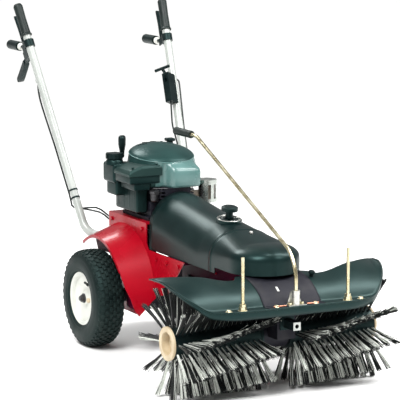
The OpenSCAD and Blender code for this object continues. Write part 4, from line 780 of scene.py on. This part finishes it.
def makeHousing():
    shape = engineShape
    reach = housingReach()
    count = shape["points"]
    tiltX, tiltY = shape["rimTilt"]
    rimRadius = shape["dome"][0][0]
    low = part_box("blower_housing")[0].z / mm - 3
    rings = [([(r + inset) * (1 - share) + rimRadius * share for r in reach], low + rise, share)
             for rise, share, inset in shape["levels"]]
    rings += [([radius] * count, height, 1) for radius, height in shape["dome"]]
    bm = bmesh.new()
    fresh = bmesh.ops.create_circle(bm, cap_ends=False, segments=count, radius=0.1,
                                    matrix=Matrix.Translation(atEngine(0, 0, 0)))["verts"]
    edges = list(bm.edges)
    for number, (radii, height, lean) in enumerate(rings):
        if number:
            grown = bmesh.ops.extrude_edge_only(bm, edges=edges)
            fresh = newVerts(grown)
            edges = [part for part in grown["geom"] if isinstance(part, bmesh.types.BMEdge)
                     and all(vert in fresh for vert in part.verts)]
        line = sorted(fresh, key=lambda vert: aroundCrank(vert.co) % (2 * math.pi))
        for k, vert in enumerate(line):
            angle = 2 * math.pi * k / count
            x, y = radii[k] * math.sin(angle), -radii[k] * math.cos(angle)
            vert.co = atEngine(x, y, height + lean * (x * tiltX + y * tiltY))
    bmesh.ops.contextual_create(bm, geom=edges)
    # the rim's plane parts the shell from the cover, and the shell is dark on the tank's side
    slope = Vector((-tiltX, -tiltY, 1)).normalized()
    rimPoint = atEngine(0, 0, shape["rimHeight"])
    for name, finish, node, above in (("blowerShell", "housingGreen", "blower_housing", False),
                                      ("starterDome", "starterGreen", "starter_cover", True)):
        half = bm.copy()
        bmesh.ops.bisect_plane(half, geom=half.verts[:] + half.edges[:] + half.faces[:], plane_co=rimPoint,
                               plane_no=slope, clear_outer=not above, clear_inner=above)
        for face in half.faces:
            away = face.calc_center_median() - crankAxis
            face.material_index = int(not above and away.x < shape["darkSide"] * math.hypot(away.x, away.y))
        rim = [vert.co.copy() for vert in half.verts if abs((vert.co - rimPoint).dot(slope)) < 1e-5]
        finishPiece(name, half, [finish, "starterGreen"], "chassis", [node], sharp=50)
    bm.free()
    seam = newTube("starterRim", shape["seam"], 2, caps=False)
    addLine(seam, sorted(rim, key=aroundCrank), closed=True)
    finishTube("starterRim", seam, ["housingGreen"], "chassis")
    # air slots over the operator's side, and the rope guide
    bm = bmesh.new()
    shear = Matrix.Identity(4)
    shear[2][0], shear[2][1] = tiltX, tiltY
    for k in range(shape["slots"]):
        turn = turned("Z", shape["slotFirst"] + k * shape["slotStep"])
        place = Matrix.Translation(rimPoint) @ shear @ turn @ Matrix.Translation(Vector(shape["slotAt"]) * mm)
        roundedBox(bm, *shape["slot"], place @ turned("Y", shape["slotTilt"]))
    for box in shape["ropeGuide"]:
        engineBox(bm, *box)
    finishPiece("starterSlots", bm, ["blackPlastic"], "chassis")


# bodies at the engine's side, from the crank axis: boxes are two corners, edge radius and its segments
sideShape = {
    "lid": [(-168, 586), (-168, 605), (-124, 622), (-46, 622), (-46, 586)], "lidFrom": -104, "lidLength": 126,
    "lidChamfer": 8, "lidRound": 2.2,
    "cleaner": [((-164, -101, 561), (-54, 18, 590), 4), ((-146, -96, 538), (-88, 12, 564), 4),
                ((-93, -82, 540), (-84, 10, 556), 1.5)],
    "screws": [((-150, -92, 612), (-150, -92, 618)), ((-62, -92, 612), (-62, -92, 626))],
    "tank": [((-166, 25, 548), (-115, 118, 616), 11, 5), ((-160, 25, 548), (-92, 78, 616), 9, 5),
             ((-158, 24, 506), (-93, 104, 556), 8, 4)],
    "neck": [(0, 629), (23, 629), (27, 626), (30, 620), (31, 610), (0, 606)], "neckAt": (-148, 58, 0),
    "sideBox": ((-128, -74, 458), (-87, 96, 540), 7, 4), "ribs": (-60, -18, 24, 66),
    "bowl": [(0, 498), (11, 498), (15, 503), (15, 524), (18, 526), (18, 534), (12, 538), (0, 538)],
    "bowlAt": (-72, -96, 0), "throat": ((-72, -114, 530), (-72, -84, 530)),
    "links": [((-84, -108, 545), (-40, -131, 545)), ((-58, -122, 545), (-58, -112, 512))],
}


def makeSideBodies():
    shape = sideShape
    # lid of the air cleaner: a sloping prism with chamfered edges over its body
    bm = bmesh.new()
    front = bm.faces.new([bm.verts.new(atEngine(x, shape["lidFrom"], z)) for x, z in shape["lid"]])
    fresh = newVerts(bmesh.ops.extrude_face_region(bm, geom=[front]))
    bmesh.ops.translate(bm, verts=fresh, vec=(0, shape["lidLength"] * mm, 0))
    bmesh.ops.recalc_face_normals(bm, faces=bm.faces)
    upper = [edge for edge in bm.edges if all(vert.co.z > 0.6 for vert in edge.verts)]
    chamfer(bm, upper, shape["lidChamfer"])
    finishPiece("airCleanerLid", bm, ["lidBlack"], "chassis", ["air_cleaner"], sharp=20,
                edge=shape["lidRound"])
    bm = bmesh.new()
    for box in shape["cleaner"]:
        engineBox(bm, *box)
    for low, high in shape["screws"]:
        bar(bm, atEngine(*low), atEngine(*high), 5, 16, 4)
    finishPiece("airCleanerBody", bm, ["tankBlack"], "chassis")
    # tank in two steps with a filler neck, and the lower side box with its ribs
    bm = bmesh.new()
    for box in shape["tank"]:
        engineBox(bm, *box)
    lathe(bm, shape["neck"], atEngine(*shape["neckAt"]), (0, 0, 1), 32)
    finishPiece("fuelTankShell", bm, ["tankBlack"], "chassis", ["fuel_tank"])
    bm = bmesh.new()
    engineBox(bm, *shape["sideBox"])
    for y in shape["ribs"]:
        engineBox(bm, (-128.6, y, 470), (-120, y + 8, 530), 2.5)
    finishPiece("sideBox", bm, ["tankBlack"], "chassis")
    # carburettor and its links in the recess beside the cylinder
    bm = bmesh.new()
    lathe(bm, shape["bowl"], atEngine(*shape["bowlAt"]), (0, 0, 1), 28)
    start, end = shape["throat"]
    bar(bm, atEngine(*start), atEngine(*end), 9, 20)
    finishPiece("carburettor", bm, ["darkSteel"], "chassis")
    bm = bmesh.new()
    for start, end in shape["links"]:
        bar(bm, atEngine(*start), atEngine(*end), 1.3, 8)
    finishPiece("governorLinks", bm, ["darkSteel"], "chassis")


# starter grip: an oval pull, thicker at the top, with the start of its rope
gripShape = {
    "at": (-104, 92), "oval": (0.78, 1.2, 1), "ovalFrom": 625.5, "rope": (552.6, 628, 2.5),
    "profile": [(0, 626), (8, 626), (10, 630), (10, 642), (11, 650), (13.5, 660), (15.5, 671), (16, 690),
                (14.5, 697), (10, 701), (0, 702)],
}


def makeGrip():
    shape = gripShape
    x, y = shape["at"]
    low, high, radius = shape["rope"]
    bm = bmesh.new()
    lathe(bm, shape["profile"], Vector((0, 0, 0)), (0, 0, 1), 36)
    bar(bm, Vector((0, 0, low * mm)), Vector((0, 0, high * mm)), radius, 12)
    upper = [vert for vert in bm.verts if vert.co.z > shape["ovalFrom"] * mm]
    bmesh.ops.scale(bm, vec=shape["oval"], verts=upper)
    place = Matrix.Translation(atEngine(x, y, 0)) @ Matrix.Rotation(math.atan2(y, x), 4, "Z")
    bmesh.ops.transform(bm, matrix=place, verts=bm.verts)
    body = nodes["starter_grip"]["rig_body"]
    finishPiece("starterPull", bm, ["blackPlastic"], body, ["starter_grip"], sharp=60)


makeHousing()
makeSideBodies()
makeGrip()
print("engine made")


# every other CAD node gets a finish, and edges softened by this much
plainDress = {
    "redEnamel": {"chassis_frame": 1.2, "right_fender": 1.2, "left_fender": 1.2, "chassis_bolts": 0.7},
    # the head carrier is red, given the darker red as painted shade
    "paintedShadeRed": {"head_carrier": 1.0},
    "castDark": {"transaxle_case": 2.0, "engine_block": 1.0, "gearbox_case": 1.6},
    "darkSteel": {"drive_pulley": 0.5, "axle_shaft": 0.8, "brush_pulley": 0.5, "flywheel": 0.6,
        "engine_pulley": 0.5, "idler_pulley": 0.6},
    "whiteEnamel": {"right_handle_tube": 0.6, "left_handle_tube": 0.6, "accessory_socket": 1.2},
    "blackPlastic": {"handle_clamps": 1.5, "lever_clamps": 1.2, "throttle_case": 3.0, "brush_lever": 2.0,
        "reverse_lever": 2.0, "drive_lever": 2.0, "throttle_lever": 1.6, "selector_knob": 1.2,
        "fuel_cap": 1.5},
    "gripRubber": {"handle_grips": 1.5, "swivel_grip": 1.6},
    "sheathBlack": {"brush_cable": 0, "reverse_cable": 0, "drive_cable": 0, "throttle_cable": 0},
    "heatSteel": {"muffler": 1.0},
    "guardSteel": {"muffler_guard": 0.8},
    "beltRubber": {"brush_belt": 0.4, "drive_belt": 0.4},
    "yellowZinc": {"hood_fasteners": 0.6, "support_rods": 0.8, "swivel_lever": 0},
    "brightZinc": {"lever_bracket": 0.8, "idler_arm": 0.6},
    "turnedSteel": {"brush_shaft": 0.8, "worm_shaft": 0, "crankshaft": 0.5},
    "bronze": {"worm_wheel": 0},
    "creamHub": {"brush_hubs": 1.0},
}


def splitFinish(skin, finish, chosen):
    skin.data.materials.append(looks[finish])
    for face in skin.data.polygons:
        face.material_index = int(chosen(face))


skins = {node: dressNode(node, finish, edge)
         for finish, group in plainDress.items() for node, edge in group.items()}
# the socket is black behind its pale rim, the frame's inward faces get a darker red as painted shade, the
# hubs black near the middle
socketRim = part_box("accessory_socket")[0].y + 14 * mm
splitFinish(skins["accessory_socket"], "blackPlastic", lambda face: face.center.y > socketRim)
splitFinish(skins["chassis_frame"], "paintedShadeRed", lambda face: face.center.x * face.normal.x < -0.03)
splitFinish(skins["brush_hubs"], "blackPlastic", lambda face: abs(face.center.x) < 0.25)
print("CAD nodes dressed,", len(skins))


# dial under the selector knob, with plain numbers
dialShape = {
    "ahead": -526, "up": 489, "tilt": 7, "boss": 42, "ring": (35.5, 39.5), "marks": 24, "mark": (31, 34.5),
    "numbers": 6, "numberAt": (0, 21, 6.2), "numberFirst": 75, "numberStep": 30, "size": 9,
}


def makeDial():
    shape = dialShape
    base = Vector((0, wheelAxis.y + shape["ahead"] * mm, shape["up"] * mm))
    tilt = turned("X", shape["tilt"])
    place = Matrix.Translation(base) @ tilt
    axis = tilt @ Vector((0, 0, 1))
    boss = shape["boss"]
    bm = bmesh.new()
    lathe(bm, [(boss, -12), (boss, 4.6), (boss - 1.4, 6), (16, 6)], base, axis, 56)
    finishPiece("dialBoss", bm, ["coverBlack"], "chassis")
    bm = bmesh.new()
    inner, outer = shape["ring"]
    ring = [(outer, 5.5), (outer, 7.0), (outer - 0.8, 7.6), (inner + 0.8, 7.6), (inner, 7.0), (inner, 5.5)]
    lathe(bm, ring, base, axis, 56)
    near, far = shape["mark"]
    for k in range(shape["marks"]):
        mark = place @ turned("Z", 360 * k / shape["marks"])
        roundedBox(bm, (-0.7, near, 5.8), (0.7, far, 6.8), 0.2, 1, mark)
    finishPiece("dialRing", bm, ["brightZinc"], "chassis")
    bm = bmesh.new()
    lift = Matrix.Translation(Vector(shape["numberAt"]) * mm)
    for k in range(shape["numbers"]):
        text = bpy.data.curves.new("dialNumber", "FONT")
        text.body = str(k + 1)
        text.size = shape["size"] * mm
        text.align_x = "CENTER"
        text.extrude = 0.3 * mm
        flat = curveMesh(text)
        flat.transform(place @ turned("Z", shape["numberFirst"] - shape["numberStep"] * k) @ lift)
        bm.from_mesh(flat)
    finishPiece("dialNumbers", bm, ["platePale"], "chassis")


makeDial()


# washers, nuts and dome heads along the hood's shelf
shelfShape = {
    "y": -800.793, "z": 292, "sheet": 3, "rods": (-183, 183), "domes": (-230, -68, 68, 230), "pins": (36, 78),
    # nuts: rise, width across flats, height and turn
    "nuts": [(2.3, 21, 10, 8), (13.0, 19, 8, 22)], "lowNut": (21, 10, 15),
    "washer": [(5.2, 0.1), (15, 0.1), (15, 2.4), (5.2, 2.4)],
    "lowWasher": [(5.2, 0.1), (14, 0.1), (14, 2.1), (5.2, 2.1)],
    "dome": [(11, 0.1), (11, 1.8), (8.4, 2.0), (8.2, 4.0), (6.6, 6.6), (3.6, 8.0), (0, 8.4)],
    "thread": [(4.6, -1.1), (5.5, 0), (4.6, 1.1)], "threadFrom": 26, "pitch": 2.9, "turns": 46,
}


def hexNut(bm, centre, axis, across, height, turn):
    place = Matrix.Translation(centre + axis * height / 2 * mm)
    place = place @ axis.to_track_quat("Z", "Y").to_matrix().to_4x4() @ turned("Z", turn)
    radius = across / 1.732 * mm
    bmesh.ops.create_cone(bm, cap_ends=True, segments=6, radius1=radius, radius2=radius, depth=height * mm,
                          matrix=place)


def makeShelfHardware():
    shape = shelfShape
    up = Vector((0, 0, 1))
    bm = bmesh.new()
    for x in shape["rods"]:
        foot = Vector((x, shape["y"], shape["z"])) * mm
        below = foot - up * (shape["sheet"] + 2.2) * mm
        lathe(bm, shape["washer"], foot, up, 32)
        for rise, *nut in shape["nuts"]:
            hexNut(bm, foot + up * rise * mm, up, *nut)
        lathe(bm, shape["lowWasher"], below, up, 32)
        hexNut(bm, below, -up, *shape["lowNut"])
        for k in range(shape["turns"]):
            lathe(bm, shape["thread"], foot + up * (shape["threadFrom"] + k * shape["pitch"]) * mm, up, 14)
    for x in shape["domes"]:
        lathe(bm, shape["dome"], Vector((x, shape["y"], shape["z"])) * mm, up, 24)
    finishPiece("shelfHardware", bm, ["yellowZinc"], "head", sharp=30, edge=0.5)
    bm = bmesh.new()
    near, far = shape["pins"]
    for side in (-1, 1):
        start, end = (Vector((side * x, shape["y"] - 4, shape["z"] + 3.2)) * mm for x in (near, far))
        bar(bm, start, end, 3.0, 14)
    finishPiece("shelfPins", bm, ["copperPin"], "head", edge=0.6)


makeShelfHardware()


# single screws and clips: on the belt cover, on the saddle plate and on the hood
clipShape = {
    "coverScrew": (7, -664.2, 471), "saddleClip": (-30, -904.5, 333), "hoodKnob": (116, -856, 353),
    "slant": 33, "screw": [(0, 4.5), (4, 4), (6, 2), (6.4, -2), (0, -2)],
    "knob": [(0, 20), (9, 19), (11, 15), (9, 10), (6, 8), (6, -3), (0, -3)],
}


def clipPlace(name, slant):
    x, ahead, up = clipShape[name]
    place = Matrix.Translation((x * mm, wheelAxis.y + ahead * mm, up * mm))
    return place @ turned("X", slant)


def makeClips():
    shape = clipShape
    bm = bmesh.new()
    lathe(bm, shape["screw"], Vector((0, 0, 0)), (0, 0, 1), 20)
    bmesh.ops.transform(bm, matrix=clipPlace("coverScrew", 6), verts=bm.verts)
    finishPiece("coverScrew", bm, ["brightZinc"], nodes["belt_cover_front"]["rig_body"])
    bm = bmesh.new()
    roundedBox(bm, (-3.5, -10, -2.5), (3.5, 10, 3), 1, 2, clipPlace("saddleClip", shape["slant"]))
    finishPiece("saddleClip", bm, ["platePale"], "head")
    bm = bmesh.new()
    lathe(bm, shape["knob"], Vector((0, 0, 0)), (0, 0, 1), 24)
    bmesh.ops.transform(bm, matrix=clipPlace("hoodKnob", shape["slant"] / 2), verts=bm.verts)
    finishPiece("hoodKnob", bm, ["blackPlastic"], "head")


makeClips()


# white collars on the stub levers, bare wires to the cable stops, and ties round the right tube
controlShape = {
    "pivot": 34, "collarAt": 50, "collar": 13, "wire": 1.1, "wireTop": -14,
    "stops": {-1: (-140, -190), 1: (-140,)}, "ties": (-555, -583),
    "tie": [(14.1, -3), (15.6, -3), (15.6, 3), (14.1, 3)],
}


def makeControls():
    shape = controlShape
    lean = math.radians(handleTilt["lean"])
    out = shape["collarAt"]
    top = shape["wireTop"]
    for side, body, name in ((-1, "brush_hand", "brush"), (1, "drive_hand", "drive")):
        spot = atHandle(side, 0, shape["pivot"] + out * math.cos(lean), out * math.sin(lean))
        bm = bmesh.new()
        bmesh.ops.create_uvsphere(bm, u_segments=24, v_segments=14, radius=shape["collar"] * mm,
                                  matrix=Matrix.Translation(spot))
        finishPiece(name + "LeverCollar", bm, ["rimWhite"], body)
        wires = newTube(name + "Wires", shape["wire"], 2)
        for k, stop in enumerate(shape["stops"][side]):
            path = [(5 - 10 * k, 20, top), (3 - 6 * k, 22, top - 30), (0, 25, stop + 13)]
            addLine(wires, [atHandle(side, *local) for local in path])
        finishTube(name + "Wires", wires, ["turnedSteel"], "chassis")
    bm = bmesh.new()
    tube = handleFrame(-1)
    axis = tube.to_3x3() @ Vector((0, 0, 1))
    for up in shape["ties"]:
        lathe(bm, shape["tie"], atHandle(-1, 0, 0, up), axis, 28)
        roundedBox(bm, (-5, 13, up - 4), (5, 20, up + 4), 1, 1, tube)
    finishPiece("tubeTies", bm, ["blackPlastic"], "chassis", edge=0.4)


makeControls()
print("small hardware made")


# floor and soft studio light; lamps are name, place, size, power, and turn where they don't face the part
studio = {
    "floor": [(0.92, 0.92, 0.91), (0.925, 0.925, 0.915)], "world": 0.30, "sun": 3.1, "sunSpread": 26,
    "sunWay": (0.62, 0.55, -1.15), "aim": (0, -0.2, 0.4),
    "lamps": [("keyLamp", (-3.0, -3.2, 3.4), (1.4, 1.4), 70, None),
              ("topLamp", (1.7, -2.9, 3.2), (1.2, 1.2), 60, None),
              ("rearLamp", (-0.6, 2.6, 3.4), (1.6, 0.7), 80, None),
              ("stripLamp", (1.5, -0.78, 2.7), (2.6, 0.34), 75, (0, 27, 0))],
}


def addLamp(name, kind, power):
    data = bpy.data.lights.new(name, kind)
    data.energy = power
    return addObject(name, data)


def makeStudio():
    bm = bmesh.new()
    bmesh.ops.create_grid(bm, x_segments=2, y_segments=2, size=40)
    mesh = bpy.data.meshes.new("paleFloor")
    bm.to_mesh(mesh)
    bm.free()
    finish = coatedFinish("paleFloor", *studio["floor"], (0.85, 0.9), mottle=2, height=0.0, gloss=0.0)
    mesh.materials.append(finish)
    floor = addObject("paleFloor", mesh)
    world = bpy.data.worlds.new("paleRoom")
    world.use_nodes = True
    setInputs(world.node_tree.nodes["Background"], {"Color": (1, 1, 1, 1), "Strength": studio["world"]})
    bpy.context.scene.world = world
    sun = addLamp("softSun", "SUN", studio["sun"])
    sun.data.angle = math.radians(studio["sunSpread"])
    sun.rotation_euler = Vector(studio["sunWay"]).to_track_quat("-Z", "Y").to_euler()
    for name, place, size, power, turn in studio["lamps"]:
        lamp = addLamp(name, "AREA", power)
        lamp.data.shape = "RECTANGLE"
        lamp.data.size, lamp.data.size_y = size
        lamp.location = place
        if turn:
            lamp.rotation_euler = [math.radians(angle) for angle in turn]
        else:
            lamp.rotation_euler = (Vector(studio["aim"]) - Vector(place)).to_track_quat("-Z", "Y").to_euler()
    bpy.context.scene.view_settings.view_transform = "Standard"


makeStudio()
print("studio made")
